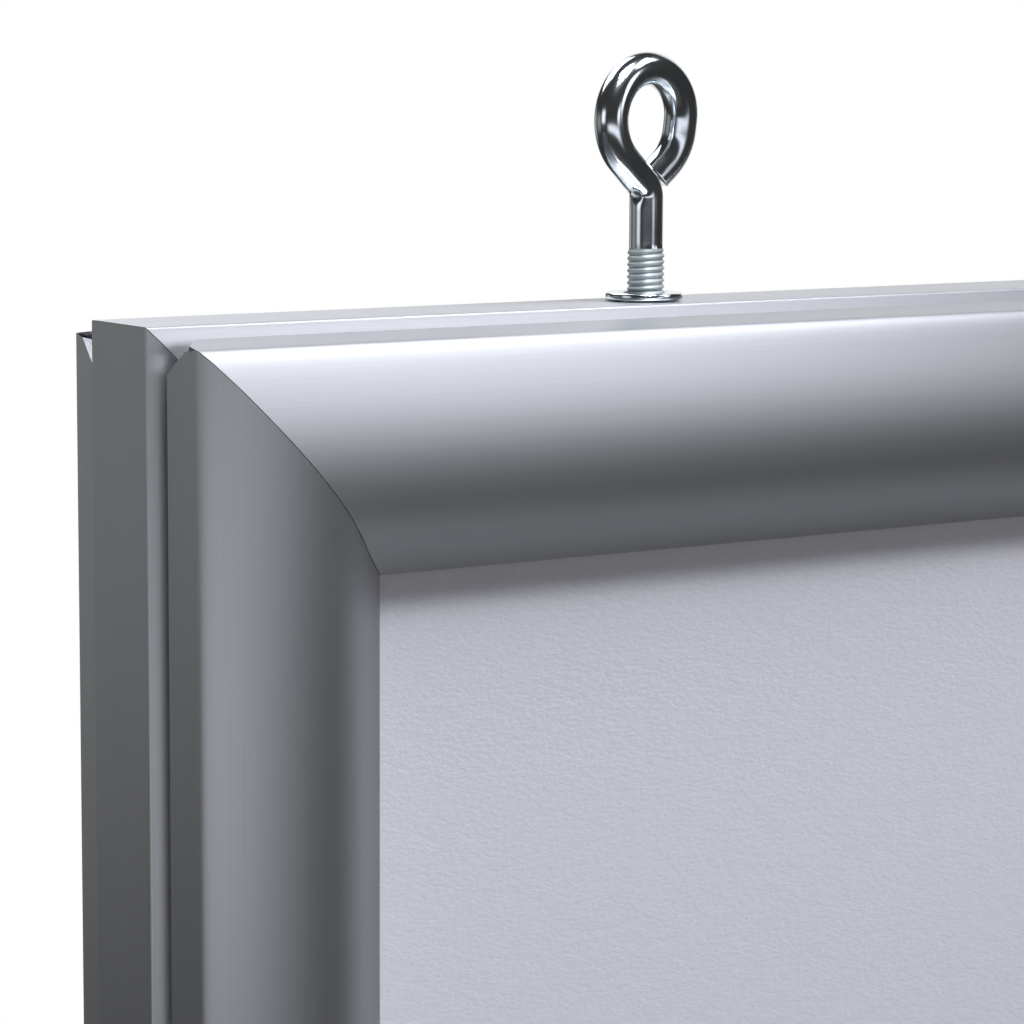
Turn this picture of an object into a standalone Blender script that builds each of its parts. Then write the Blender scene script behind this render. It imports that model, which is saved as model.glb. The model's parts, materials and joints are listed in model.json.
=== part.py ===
"""Double-sided LED snap frame: a slim poster light box that hangs from two eye bolts.

The origin is the hanging point, midway between the two eyes, where hooks bear on them.
X runs to the right, -Y is the front face and +Z is up. All lengths are in metres.

Sections are drawn with u, the distance inward from the frame's outer faces, and w, the
distance from the middle of the depth towards the face that the section belongs to.
"""

import math

import bmesh
import bpy
from mathutils import Matrix, Vector

# Driving dimensions: the poster, and how far its edge lies inside the outer faces
POSTER_WIDTH = 0.420
POSTER_HEIGHT = 0.594
POSTER_INSET = 0.030

# Driving dimensions: gaps and steps that many pieces share
PIECE_GAP = 0.0003
MITRE_GAP = 0.0002
CUT_OVERRUN = 0.005
ARC_STEP_DEG = 15
ROUND_SEGMENTS = 32
SMALL_ROUND_SEGMENTS = 16

# Driving dimensions: the sheets, from the middle of the depth outwards
GUIDE_THICKNESS = 0.008
DIFFUSER_THICKNESS = 0.002
POSTER_THICKNESS = 0.0003
COVER_THICKNESS = 0.0006

# Driving dimensions: the base extrusion
BASE_DEPTH = 0.0174
OUTER_WALL = 0.0015
FACE_WALL = 0.0015
LED_WALL = 0.0014
CHAMBER_WIDTH = 0.0121
CHAMBER_FILLET = 0.0008
EDGE_RADIUS = 0.0005
SHOULDER_WIDTH = 0.0046
SHOULDER_RISE = 0.0007
LIP_THICKNESS = 0.0013
LIP_OVERLAP = 0.007
SHEET_RIB_WALL = 0.0014
SHEET_RIB_CLEARANCE = 0.0004

# Driving dimensions: the hinge between base and rail
BEAD_RADIUS = 0.0009
BEAD_NECK = 0.0008
HINGE_CLEARANCE = 0.00015
SOCKET_WALL = 0.00075
HINGE_RISE = 0.00485
HINGE_WEB = 0.0012
SOCKET_LIP_DROP = 0.0015
SOCKET_START_DEG = -50
SOCKET_END_DEG = 135
SOCKET_SHOULDER_DEG = 35
RAIL_OPEN_DEG = 90

# Driving dimensions: the snap rail
RAIL_REACH = 0.040
RAIL_WALL = 0.0012
FLANGE_REAR_INSET = 0.0018
FLANGE_REAR_RISE = 0.0028
FLANGE_FRONT_INSET = 0.00275
FLANGE_FRONT_RISE = 0.010
FLANGE_EDGE_RADIUS = 0.0004
CROWN_RISE = 0.0141
FOOT_LENGTH = 0.0021
SEAT_RIB_WALL = 0.0009
SEAT_RIB_DEPTH = 0.0024
STOP_RIB_DEPTH = 0.0012

# The crown's outline from the flange to the foot: shares of the face's width and of the crown's rise
CROWN_SHARES = (
    (0.000, 0.709), (0.009, 0.770), (0.034, 0.823), (0.082, 0.876), (0.141, 0.926),
    (0.289, 0.996), (0.436, 0.975), (0.570, 0.918), (0.691, 0.759), (0.826, 0.479), (0.973, 0.131),
)
CROWN_STEPS = 3

# Driving dimensions: the leaf springs in the rails
SPRING_THICKNESS = 0.0005
SPRING_LENGTH = 0.040
SPRING_SPAN_SHARE = 0.28
SPRING_NOSE = 0.0009
SPRING_SEAT_WIDTH = 0.0022
SPRING_SEAT_DEPTH = 0.0013

# Driving dimensions: corner keys and their grub screws
KEY_ARM = 0.042
KEY_FILLET = 0.002
KEY_SCREW_RADIUS = 0.0015
KEY_SCREW_LENGTH = 0.010
KEY_SCREW_FROM_CORNER = 0.030
KEY_SCREW_SOCKET_RADIUS = 0.00085
KEY_SCREW_SOCKET_DEPTH = 0.0018

# Driving dimensions: the eye bolts with their washers and nuts
EYE_FROM_SIDE = 0.097
EYE_ROD_RADIUS = 0.00265
EYE_LOOP_RADIUS = 0.00795
EYE_CENTRE_HEIGHT = 0.0306
EYE_THREAD_RADIUS = 0.00295
EYE_THREAD_TOP = 0.0087
EYE_BEND_RADIUS = 0.004
EYE_LOOP_START_DEG = 219
EYE_LOOP_END_DEG = -23
EYE_TAIL_LENGTH = 0.0071
EYE_TAIL_SHARES = (0.35, 0.70, 1.0)
EYE_TAIL_BACK = 0.0025
EYE_HELIX_POWER = 3
EYE_TURN_DEG = 10.7
WASHER_RADIUS = 0.00615
WASHER_THICKNESS = 0.0014
WASHER_CHAMFER = 0.0004
NUT_ACROSS_FLATS = 0.010
NUT_THICKNESS = 0.005
EYE_THREAD_PAST_NUT = 0.0012

# Driving dimensions: the light strips
BOARD_THICKNESS = 0.001
BOARD_END_GAP = 0.005
LED_COUNT = 30
LED_LENGTH = 0.0035
LED_WIDTH = 0.0028
LED_HEIGHT = 0.0009
LED_TO_GUIDE = 0.0008

# Driving dimensions: the supply socket and the leads inside
INLET_FROM_SIDE = 0.055
INLET_FLANGE_RADIUS = 0.0072
INLET_FLANGE_THICKNESS = 0.0016
INLET_BARREL_RADIUS = 0.0055
INLET_BARREL_LENGTH = 0.0100
INLET_BORE_RADIUS = 0.0031
INLET_BORE_DEPTH = 0.009
INLET_PIN_RADIUS = 0.00105
INLET_CHAMFER = 0.0004
INLET_NUT_ACROSS_FLATS = 0.013
INLET_NUT_THICKNESS = 0.002
LEAD_RADIUS = 0.0006
LEAD_SPACING = 0.0026
LEAD_BEND = 0.004
LEAD_CORNER_BEND = 0.002
LEAD_HOLE_WIDTH = 0.009
LEAD_HOLE_DEPTH = 0.003

# Frame sizes that follow from them
FRAME_WIDTH = POSTER_WIDTH + 2 * POSTER_INSET
FRAME_HEIGHT = POSTER_HEIGHT + 2 * POSTER_INSET
HALF_DEPTH = BASE_DEPTH / 2
FRONT_LEVEL = HALF_DEPTH + SHOULDER_RISE
CHAMBER_HALF_DEPTH = FRONT_LEVEL - FACE_WALL
CHAMBER_END = OUTER_WALL + CHAMBER_WIDTH
LED_WALL_END = CHAMBER_END + LED_WALL
LIP_INNER = GUIDE_THICKNESS / 2 + PIECE_GAP
LIP_OUTER = LIP_INNER + LIP_THICKNESS
LIP_REACH = POSTER_INSET + LIP_OVERLAP
DIFFUSER_LEVEL = LIP_OUTER + PIECE_GAP
POSTER_LEVEL = DIFFUSER_LEVEL + DIFFUSER_THICKNESS + PIECE_GAP
COVER_LEVEL = POSTER_LEVEL + POSTER_THICKNESS + PIECE_GAP
COVER_FRONT = COVER_LEVEL + COVER_THICKNESS
FOOT_LEVEL = COVER_FRONT + PIECE_GAP
SHEET_RIB_END = POSTER_INSET - SHEET_RIB_CLEARANCE
TOP_FACE = -(EYE_CENTRE_HEIGHT + EYE_LOOP_RADIUS - EYE_ROD_RADIUS)
FRAME_CENTRE = TOP_FACE - FRAME_HEIGHT / 2

# Hinge sizes that follow from them
SOCKET_INNER_RADIUS = BEAD_RADIUS + HINGE_CLEARANCE
SOCKET_OUTER_RADIUS = SOCKET_INNER_RADIUS + SOCKET_WALL
HINGE_INSET = FLANGE_REAR_INSET + RAIL_WALL + HINGE_CLEARANCE + SOCKET_OUTER_RADIUS
HINGE_LEVEL = HALF_DEPTH + HINGE_RISE
FLANGE_OPEN_INSET = HINGE_INSET + HINGE_RISE - FLANGE_REAR_RISE
WEB_INSET = FLANGE_OPEN_INSET + PIECE_GAP
WEB_END = WEB_INSET + HINGE_WEB
WEB_RADIUS = WEB_END - HINGE_INSET
SPRING_NOSE_INSET = WEB_END + PIECE_GAP + SPRING_THICKNESS / 2
SEAT_RIB_INSET = SPRING_NOSE_INSET + 2 * SPRING_SEAT_WIDTH + PIECE_GAP
KEY_SCREW_INSET = (WEB_END + CHAMBER_END) / 2

# Places of the light strips between the wall and the guide
BOARD_INSET = LED_WALL_END + PIECE_GAP
LED_INSET = BOARD_INSET + BOARD_THICKNESS
GUIDE_INSET = LED_INSET + LED_HEIGHT + LED_TO_GUIDE
LEAD_INSET = (LED_WALL_END + GUIDE_INSET) / 2

# Inward directions and lengths of the frame's four sides
SIDES = {
    "top": (Vector((0, 0, -1)), FRAME_WIDTH, FRAME_HEIGHT),
    "right": (Vector((-1, 0, 0)), FRAME_HEIGHT, FRAME_WIDTH),
    "bottom": (Vector((0, 0, 1)), FRAME_WIDTH, FRAME_HEIGHT),
    "left": (Vector((1, 0, 0)), FRAME_HEIGHT, FRAME_WIDTH),
}
FACES = {"front": Vector((0, -1, 0)), "back": Vector((0, 1, 0))}
CORNER_TURNS_DEG = {"top_left": 0, "top_right": 90, "bottom_right": 180, "bottom_left": 270}


def clear_scene():
    for old in list(bpy.data.objects):
        bpy.data.objects.remove(old, do_unlink=True)


def new_collection(name):
    collection = bpy.data.collections.new(name)
    bpy.context.scene.collection.children.link(collection)
    return collection


clear_scene()
PARTS = new_collection("led_frame")
CUTTERS = new_collection("led_frame_cutters")


def material(name, colour, metallic, roughness):
    made = bpy.data.materials.new(name)
    made.use_nodes = True
    shader = made.node_tree.nodes["Principled BSDF"]
    shader.inputs["Base Color"].default_value = (*colour, 1)
    shader.inputs["Metallic"].default_value = metallic
    shader.inputs["Roughness"].default_value = roughness
    return made


ALUMINIUM = material("satin_anodised_aluminium", (0.60, 0.61, 0.63), 1.0, 0.38)
ZINC = material("zinc_plated_steel", (0.66, 0.67, 0.69), 1.0, 0.22)
SPRING_STEEL = material("spring_steel", (0.35, 0.35, 0.37), 1.0, 0.35)
BLACK_STEEL = material("black_oxide_steel", (0.05, 0.05, 0.055), 0.8, 0.45)
CAST_ALUMINIUM = material("cast_aluminium", (0.45, 0.46, 0.47), 1.0, 0.55)
CLEAR_ACRYLIC = material("clear_acrylic", (0.80, 0.86, 0.86), 0.0, 0.10)
OPAL_ACRYLIC = material("opal_acrylic", (0.88, 0.88, 0.88), 0.0, 0.45)
PAPER = material("white_paper", (0.86, 0.86, 0.86), 0.0, 0.70)
COVER_FILM = material("matte_cover_film", (0.60, 0.61, 0.66), 0.0, 0.50)
BOARD_WHITE = material("white_circuit_board", (0.80, 0.80, 0.78), 0.0, 0.40)
BLACK_PLASTIC = material("black_plastic", (0.02, 0.02, 0.02), 0.0, 0.40)


def add_object(name, mesh, finish, matrix=None, collection=None):
    obj = bpy.data.objects.new(name, mesh)
    (collection or PARTS).objects.link(obj)
    if finish and not mesh.materials:
        mesh.materials.append(finish)
    if matrix is not None:
        obj.matrix_world = matrix
    return obj


def add_cutter(name, mesh, matrix=None):
    cutter = add_object(name, mesh, None, matrix, CUTTERS)
    cutter.hide_render = True
    cutter.display_type = "WIRE"
    return cutter


def boolean(obj, cutter, operation="DIFFERENCE"):
    modifier = obj.modifiers.new(cutter.name, "BOOLEAN")
    modifier.operation = operation
    modifier.object = cutter
    modifier.solver = "EXACT"


def evaluated_mesh(obj):
    """The object's mesh with its modifiers in it, its loose caps welded."""
    bpy.context.view_layer.update()
    graph = bpy.context.evaluated_depsgraph_get()
    mesh = bpy.data.meshes.new_from_object(obj.evaluated_get(graph))
    cleaned = bmesh.new()
    cleaned.from_mesh(mesh)
    bmesh.ops.remove_doubles(cleaned, verts=cleaned.verts, dist=PIECE_GAP / 100)
    bmesh.ops.recalc_face_normals(cleaned, faces=cleaned.faces)
    cleaned.to_mesh(mesh)
    cleaned.free()
    return mesh


def freeze(obj):
    """Replaces an object by its evaluated mesh, and removes it."""
    mesh = evaluated_mesh(obj)
    bpy.data.objects.remove(obj, do_unlink=True)
    return mesh


def flat_solid(name, outlines, thickness):
    """A closed mesh: the outlines, the first one outside and any others holes, extruded along Z."""
    data = bpy.data.curves.new(name, "CURVE")
    data.dimensions = "2D"
    data.fill_mode = "BOTH"
    data.extrude = thickness / 2
    for outline in outlines:
        spline = data.splines.new("POLY")
        spline.points.add(len(outline) - 1)
        for point, (x, y) in zip(spline.points, outline):
            point.co = (x, y, 0, 1)
        spline.use_cyclic_u = True
    mesh = freeze(add_object(name, data, None))
    mesh.name = name
    return mesh


def box(name, size):
    mesh = bpy.data.meshes.new(name)
    shape = bmesh.new()
    bmesh.ops.create_cube(shape, size=1)
    bmesh.ops.scale(shape, vec=size, verts=shape.verts)
    shape.to_mesh(mesh)
    shape.free()
    return mesh


def joined(name, placed):
    """One mesh from several that lie apart, each given with its matrix."""
    shape = bmesh.new()
    for mesh, matrix in placed:
        copy = mesh.copy()
        copy.transform(matrix)
        shape.from_mesh(copy)
        bpy.data.meshes.remove(copy)
    mesh = bpy.data.meshes.new(name)
    shape.to_mesh(mesh)
    shape.free()
    return mesh


def cylinder(name, radius, length, segments=ROUND_SEGMENTS):
    mesh = bpy.data.meshes.new(name)
    shape = bmesh.new()
    bmesh.ops.create_cone(
        shape, cap_ends=True, segments=segments, radius1=radius, radius2=radius, depth=length
    )
    shape.to_mesh(mesh)
    shape.free()
    return mesh


def turned(name, profile):
    """A mesh turned round Z. The profile holds (radius, height) pairs, down the outer side first."""
    mesh = bpy.data.meshes.new(name + "_profile")
    corners = [(radius, 0, height) for radius, height in profile]
    edges = [(i, (i + 1) % len(profile)) for i in range(len(profile))]
    open_ends = profile[0][0] == 0 and profile[-1][0] == 0
    mesh.from_pydata(corners, edges[:-1] if open_ends else edges, [])
    obj = add_object(name + "_turned", mesh, None)
    screw = obj.modifiers.new("turn", "SCREW")
    screw.steps = ROUND_SEGMENTS
    screw.render_steps = ROUND_SEGMENTS
    screw.use_merge_vertices = True
    screw.merge_threshold = PIECE_GAP / 100
    return freeze(obj)


def on_circle(centre, radius, angle_deg):
    angle = math.radians(angle_deg)
    return (centre[0] + radius * math.cos(angle), centre[1] + radius * math.sin(angle))


def arc(centre, radius, start_deg, end_deg):
    """Points along an arc, both ends included."""
    steps = max(1, round(abs(end_deg - start_deg) / ARC_STEP_DEG))
    turns = [start_deg + (end_deg - start_deg) * i / steps for i in range(steps + 1)]
    return [on_circle(centre, radius, turn) for turn in turns]


def smooth_through(points, steps):
    """A smooth curve through the points, with this many steps between each pair."""
    ends = [points[0], *points, points[-1]]
    curve = []
    for before, start, end, after in zip(ends, ends[1:], ends[2:], ends[3:]):
        for i in range(steps):
            t = i / steps
            curve.append(tuple(
                0.5 * (2 * b + (c - a) * t + (2 * a - 5 * b + 4 * c - d) * t**2
                       + (3 * b - a - 3 * c + d) * t**3)
                for a, b, c, d in zip(before, start, end, after)
            ))
    return [*curve, points[-1]]


def side_matrix(side, face, inset=0.0, level=0.0):
    """Places a section: its x runs inward, its y towards the face, and its z along the side."""
    inward, _, across = SIDES[side]
    outward = FACES[face]
    along = inward.cross(outward)
    origin = Vector((0, 0, FRAME_CENTRE)) - inward * (across / 2 - inset) + outward * level
    rotation = Matrix((inward, outward, along)).transposed().to_4x4()
    return Matrix.Translation(origin) @ rotation


def mitred_solid(name, outlines, length, inset=0.0):
    """A section along a side, its end faces slid to the mitres. The inset is where its x starts."""
    mesh = flat_solid(name, outlines, length)
    for vertex in mesh.vertices:
        end = math.copysign(1, vertex.co.z)
        vertex.co.z = end * (length / 2 - inset - vertex.co.x - MITRE_GAP)
    return mesh


# Base extrusion

def base_front_outline():
    """The front half of the base's section, from the outer face round to the light strip's wall."""
    hinge = (HINGE_INSET, HINGE_LEVEL)
    flat_lip = HINGE_LEVEL - SOCKET_LIP_DROP - PIECE_GAP
    rib_top = COVER_FRONT - COVER_THICKNESS / 2
    return [
        *arc((EDGE_RADIUS, HALF_DEPTH - EDGE_RADIUS), EDGE_RADIUS, 180, 90),
        (SHOULDER_WIDTH, FRONT_LEVEL),
        (WEB_INSET, FRONT_LEVEL),
        (WEB_INSET, flat_lip),
        on_circle(hinge, SOCKET_OUTER_RADIUS, SOCKET_START_DEG),
        *arc(hinge, SOCKET_INNER_RADIUS, SOCKET_START_DEG, SOCKET_END_DEG),
        *arc(hinge, SOCKET_OUTER_RADIUS, SOCKET_END_DEG, 90),
        *arc(hinge, WEB_RADIUS, SOCKET_SHOULDER_DEG, 0),
        (WEB_END, FRONT_LEVEL),
        (LED_WALL_END, FRONT_LEVEL),
        (LED_WALL_END, LIP_OUTER),
        (SHEET_RIB_END - SHEET_RIB_WALL, LIP_OUTER),
        (SHEET_RIB_END - SHEET_RIB_WALL, rib_top),
        (SHEET_RIB_END, rib_top),
        (SHEET_RIB_END, LIP_OUTER),
        (LIP_REACH, LIP_OUTER),
        (LIP_REACH, LIP_INNER),
        (LED_WALL_END, LIP_INNER),
    ]


def chamber_outline():
    low, high = OUTER_WALL + CHAMBER_FILLET, CHAMBER_END - CHAMBER_FILLET
    half = CHAMBER_HALF_DEPTH - CHAMBER_FILLET
    return [
        *arc((low, -half), CHAMBER_FILLET, 180, 270),
        *arc((high, -half), CHAMBER_FILLET, 270, 360),
        *arc((high, half), CHAMBER_FILLET, 0, 90),
        *arc((low, half), CHAMBER_FILLET, 90, 180),
    ]


def base_mesh(name, length):
    front = base_front_outline()
    back = [(u, -w) for u, w in reversed(front)]
    solid = mitred_solid(name, [front + back, chamber_outline()], length)
    template = add_object(name, solid, ALUMINIUM)
    hole_length = FACE_WALL + 2 * PIECE_GAP
    hole = cylinder("screw_hole", KEY_SCREW_RADIUS + PIECE_GAP, hole_length, SMALL_ROUND_SEGMENTS)
    turn = Matrix.Rotation(math.radians(90), 4, "X")
    level = FRONT_LEVEL - FACE_WALL / 2
    ends = [end * (length / 2 - KEY_SCREW_FROM_CORNER) for end in (-1, 1)]
    holes = [(hole, Matrix.Translation((KEY_SCREW_INSET, level, end)) @ turn) for end in ends]
    boolean(template, add_cutter(name + "_screw_holes", joined(name + "_screw_holes", holes)))
    mesh = freeze(template)
    mesh.name = name
    return mesh


# Snap rails, drawn about their hinge's axis

def rail_point(inset, level):
    return (inset - HINGE_INSET, level - HINGE_LEVEL)


def flange_inset(rise):
    slope = (FLANGE_FRONT_INSET - FLANGE_REAR_INSET) / (FLANGE_FRONT_RISE - FLANGE_REAR_RISE)
    return FLANGE_REAR_INSET + slope * (rise - FLANGE_REAR_RISE)


def crown_points():
    """The rail's outer face, from the flange's front edge to the foot, and the skin inside it."""
    face = RAIL_REACH - FLANGE_FRONT_INSET
    places = [(FLANGE_FRONT_INSET + face * across, CROWN_RISE * up) for across, up in CROWN_SHARES]
    outer = smooth_through(places, CROWN_STEPS)
    inner = []
    for before, here, after in zip(outer, outer[1:], outer[2:]):
        run, climb = after[0] - before[0], after[1] - before[1]
        size = math.hypot(run, climb)
        inner.append((here[0] + RAIL_WALL * climb / size, here[1] - RAIL_WALL * run / size))
    return outer, inner


def height_on(line, inset):
    for (left, low), (right, high) in zip(line, line[1:]):
        if left <= inset <= right:
            return low + (high - low) * (inset - left) / (right - left)
    raise ValueError("the rail's skin doesn't reach this far")


def rib(skin, inset, depth):
    """A rib under the skin, from its inner side to its outer side."""
    end = inset + SEAT_RIB_WALL
    tip = height_on(skin, inset) - depth
    return [(end, height_on(skin, end)), (end, tip), (inset, tip), (inset, height_on(skin, inset))]


def seat_rib_places():
    stop = SEAT_RIB_INSET - SPRING_SEAT_WIDTH - 2 * PIECE_GAP - SEAT_RIB_WALL
    return (SEAT_RIB_INSET, SEAT_RIB_DEPTH), (stop, STOP_RIB_DEPTH)


def rail_outline():
    outer, inner = crown_points()
    foot = FOOT_LEVEL - HALF_DEPTH
    first = flange_inset(FLANGE_FRONT_RISE) + 2 * RAIL_WALL
    skin = [p for p in inner if first < p[0] < RAIL_REACH - FOOT_LENGTH and p[1] > foot]
    (seat, seat_depth), (stop, stop_depth) = seat_rib_places()
    underside = [
        *[p for p in skin if p[0] < stop],
        *reversed(rib(skin, stop, stop_depth)),
        *[p for p in skin if stop + SEAT_RIB_WALL < p[0] < seat],
        *reversed(rib(skin, seat, seat_depth)),
        *[p for p in skin if p[0] > seat + SEAT_RIB_WALL],
    ]
    neck_deg = math.degrees(math.asin(BEAD_NECK / 2 / BEAD_RADIUS))
    neck_top, neck_bottom = HINGE_RISE + BEAD_NECK / 2, HINGE_RISE - BEAD_NECK / 2
    rear_centre = (FLANGE_REAR_INSET + FLANGE_EDGE_RADIUS, FLANGE_REAR_RISE + FLANGE_EDGE_RADIUS)
    rises = [
        *arc(rear_centre, FLANGE_EDGE_RADIUS, 270, 180),
        *outer,
        (RAIL_REACH, foot),
        (RAIL_REACH - FOOT_LENGTH, foot),
        *reversed(underside),
        (flange_inset(FLANGE_FRONT_RISE) + RAIL_WALL, FLANGE_FRONT_RISE),
        (flange_inset(neck_top) + RAIL_WALL, neck_top),
        *arc((HINGE_INSET, HINGE_RISE), BEAD_RADIUS, 180 - neck_deg, neck_deg - 180),
        (flange_inset(neck_bottom) + RAIL_WALL, neck_bottom),
        (FLANGE_REAR_INSET + RAIL_WALL, FLANGE_REAR_RISE),
    ]
    return [rail_point(u, HALF_DEPTH + rise) for u, rise in rises]


def rail_mesh(name, length):
    """A rail whose ends clear the next rails both shut and open: two plane cuts at each end."""
    template = add_object(name, mitred_solid(name, [rail_outline()], length, HINGE_INSET), ALUMINIUM)
    low, high = -HINGE_RISE - CUT_OVERRUN, CROWN_RISE + CUT_OVERRUN
    half = [length / 2 - HINGE_INSET + rise - MITRE_GAP for rise in (low, high)]
    outline = [(low, -half[0]), (high, -half[1]), (high, half[1]), (low, half[0])]
    clip = add_cutter(name + "_clips", flat_solid(name + "_clips", [outline], RAIL_REACH * 3))
    clip.matrix_world = Matrix(((0, 0, 1), (1, 0, 0), (0, 1, 0))).to_4x4()
    boolean(template, clip, "INTERSECT")
    reach = BEAD_RADIUS + PIECE_GAP
    block = box(name + "_bead_end", (reach * 3 / 2, 2 * reach, 4 * reach))
    bead_end = length / 2 - HINGE_INSET - BEAD_RADIUS - MITRE_GAP
    middles = [end * (bead_end + 2 * reach) for end in (-1, 1)]
    blocks = [(block, Matrix.Translation((reach / 4, 0, middle))) for middle in middles]
    boolean(template, add_cutter(name + "_bead_ends", joined(name + "_bead_ends", blocks)))
    mesh = freeze(template)
    mesh.name = name
    return mesh


# Leaf springs, one strip bent round the rail's seat rib, its nose on the hinge's web

def strip_outline(line, thickness):
    """The outline of a bent strip whose middle runs along the line."""
    left, right = [], []
    for i, here in enumerate(line):
        before, after = line[max(i - 1, 0)], line[min(i + 1, len(line) - 1)]
        run, climb = after[0] - before[0], after[1] - before[1]
        size = math.hypot(run, climb)
        side = (-climb / size * thickness / 2, run / size * thickness / 2)
        left.append((here[0] + side[0], here[1] + side[1]))
        right.append((here[0] - side[0], here[1] - side[1]))
    return left + right[::-1]


def spring_mesh():
    _, skin = crown_points()
    half = SPRING_THICKNESS / 2
    right = SEAT_RIB_INSET - PIECE_GAP - half
    left = right - SPRING_SEAT_WIDTH + SPRING_THICKNESS
    top = height_on(skin, left) - PIECE_GAP - half
    bottom = top - SPRING_SEAT_DEPTH
    nose = SPRING_NOSE_INSET
    bend = (right - left) / 2
    rounded_seat = arc((left + bend, top - bend), bend, 0, 180)
    line = [
        (right, bottom), *rounded_seat, (left, bottom),
        (nose + SPRING_NOSE, HINGE_RISE + SPRING_NOSE * 2),
        (nose + SPRING_NOSE / 3, HINGE_RISE + SPRING_NOSE / 2),
        (nose, HINGE_RISE),
        (nose + SPRING_NOSE / 2, HINGE_RISE - SPRING_NOSE),
    ]
    outline = [rail_point(u, HALF_DEPTH + rise) for u, rise in strip_outline(line, SPRING_THICKNESS)]
    return flat_solid("leaf_spring", [outline], SPRING_LENGTH)


def build_sides():
    base_meshes = {size: base_mesh(f"base_{word}", size)
                   for word, size in (("short", FRAME_WIDTH), ("long", FRAME_HEIGHT))}
    rail_meshes = {size: rail_mesh(f"rail_{word}", size)
                   for word, size in (("short", FRAME_WIDTH), ("long", FRAME_HEIGHT))}
    spring = spring_mesh()
    for side, (_, length, _) in SIDES.items():
        add_object(f"base_{side}", base_meshes[length], ALUMINIUM, side_matrix(side, "front"))
        for face in FACES:
            hinge = side_matrix(side, face, HINGE_INSET, HINGE_LEVEL)
            axis = bpy.data.objects.new(f"{face}_rail_{side}_axis", None)
            PARTS.objects.link(axis)
            axis.matrix_world = hinge
            rail = add_object(f"{face}_rail_{side}", rail_meshes[length], ALUMINIUM)
            rail.parent = axis
            for word, end in (("a", -1), ("b", 1)):
                leaf = add_object(f"spring_{face}_{side}_{word}", spring, SPRING_STEEL)
                leaf.parent = axis
                leaf.location = (0, 0, end * SPRING_SPAN_SHARE * length)


# Corner keys and their screws

def key_mesh():
    """An angle key that fills both chambers at a corner, seen from the front at the top left."""
    outer = OUTER_WALL + PIECE_GAP
    inner = CHAMBER_END - PIECE_GAP
    tip = outer + KEY_ARM
    outline = [
        *arc((outer + KEY_FILLET, -outer - KEY_FILLET), KEY_FILLET, 180, 90),
        (tip, -outer),
        (tip, -inner),
        (inner, -inner),
        (inner, -tip),
        (outer, -tip),
    ]
    depth = 2 * (CHAMBER_HALF_DEPTH - PIECE_GAP)
    template = add_object("key", flat_solid("corner_key", [outline], depth), CAST_ALUMINIUM)
    hole = cylinder("key_hole", KEY_SCREW_RADIUS + PIECE_GAP, 2 * depth, SMALL_ROUND_SEGMENTS)
    places = ((KEY_SCREW_FROM_CORNER, -KEY_SCREW_INSET), (KEY_SCREW_INSET, -KEY_SCREW_FROM_CORNER))
    for i, (x, y) in enumerate(places):
        boolean(template, add_cutter(f"key_hole_{i}", hole, Matrix.Translation((x, y, 0))))
    return freeze(template)


def grub_screw_mesh():
    rod = cylinder("grub_screw", KEY_SCREW_RADIUS, KEY_SCREW_LENGTH, SMALL_ROUND_SEGMENTS)
    template = add_object("grub", rod, BLACK_STEEL)
    socket = cylinder("grub_socket", KEY_SCREW_SOCKET_RADIUS, 2 * KEY_SCREW_SOCKET_DEPTH, 6)
    boolean(template, add_cutter("grub_socket", socket, Matrix.Translation((0, 0, KEY_SCREW_LENGTH / 2))))
    return freeze(template)


def corner_matrix(turn_deg):
    """Places what is drawn from the front at the top left corner at any corner."""
    width, height = (FRAME_WIDTH, FRAME_HEIGHT) if turn_deg % 180 == 0 else (FRAME_HEIGHT, FRAME_WIDTH)
    to_front = Matrix.Rotation(math.radians(90), 4, "X")
    to_corner = Matrix.Translation((-width / 2, 0, height / 2))
    turn = Matrix.Rotation(math.radians(turn_deg), 4, "Y")
    return Matrix.Translation((0, 0, FRAME_CENTRE)) @ turn @ to_corner @ to_front


def build_corners():
    key, screw = key_mesh(), grub_screw_mesh()
    level = FRONT_LEVEL - PIECE_GAP - KEY_SCREW_LENGTH / 2
    places = ((KEY_SCREW_FROM_CORNER, -KEY_SCREW_INSET), (KEY_SCREW_INSET, -KEY_SCREW_FROM_CORNER))
    for corner, turn_deg in CORNER_TURNS_DEG.items():
        matrix = corner_matrix(turn_deg)
        add_object(f"corner_key_{corner}", key, CAST_ALUMINIUM, matrix)
        for word, (x, y) in zip("ab", places):
            place = matrix @ Matrix.Translation((x, y, level))
            add_object(f"key_screw_{corner}_{word}", screw, BLACK_STEEL, place)


# Eye bolts, with their washers and nuts

def eye_path():
    """The rod's middle line: the thread, then the neck, its bend, the loop and the tail to the cut end."""
    thread_end = -(OUTER_WALL + PIECE_GAP + NUT_THICKNESS + EYE_THREAD_PAST_NUT)
    centre = (0, EYE_CENTRE_HEIGHT)
    loop = arc(centre, EYE_LOOP_RADIUS, EYE_LOOP_START_DEG, EYE_LOOP_END_DEG)
    slant_deg = EYE_LOOP_START_DEG - 180
    slant = math.radians(slant_deg)
    corner = loop[0][1] + loop[0][0] / math.tan(slant)
    bend_start = corner - EYE_BEND_RADIUS * math.tan(slant / 2)
    bend = arc((-EYE_BEND_RADIUS, bend_start), EYE_BEND_RADIUS, 0, slant_deg)
    end = math.radians(EYE_LOOP_END_DEG)
    tail = [(loop[-1][0] + EYE_TAIL_LENGTH * share * math.sin(end),
             loop[-1][1] - EYE_TAIL_LENGTH * share * math.cos(end)) for share in EYE_TAIL_SHARES]
    thread = [(0, thread_end), (0, EYE_THREAD_TOP)]
    return thread, [(0, EYE_THREAD_TOP + PIECE_GAP), *bend, *loop, *tail]


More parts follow.
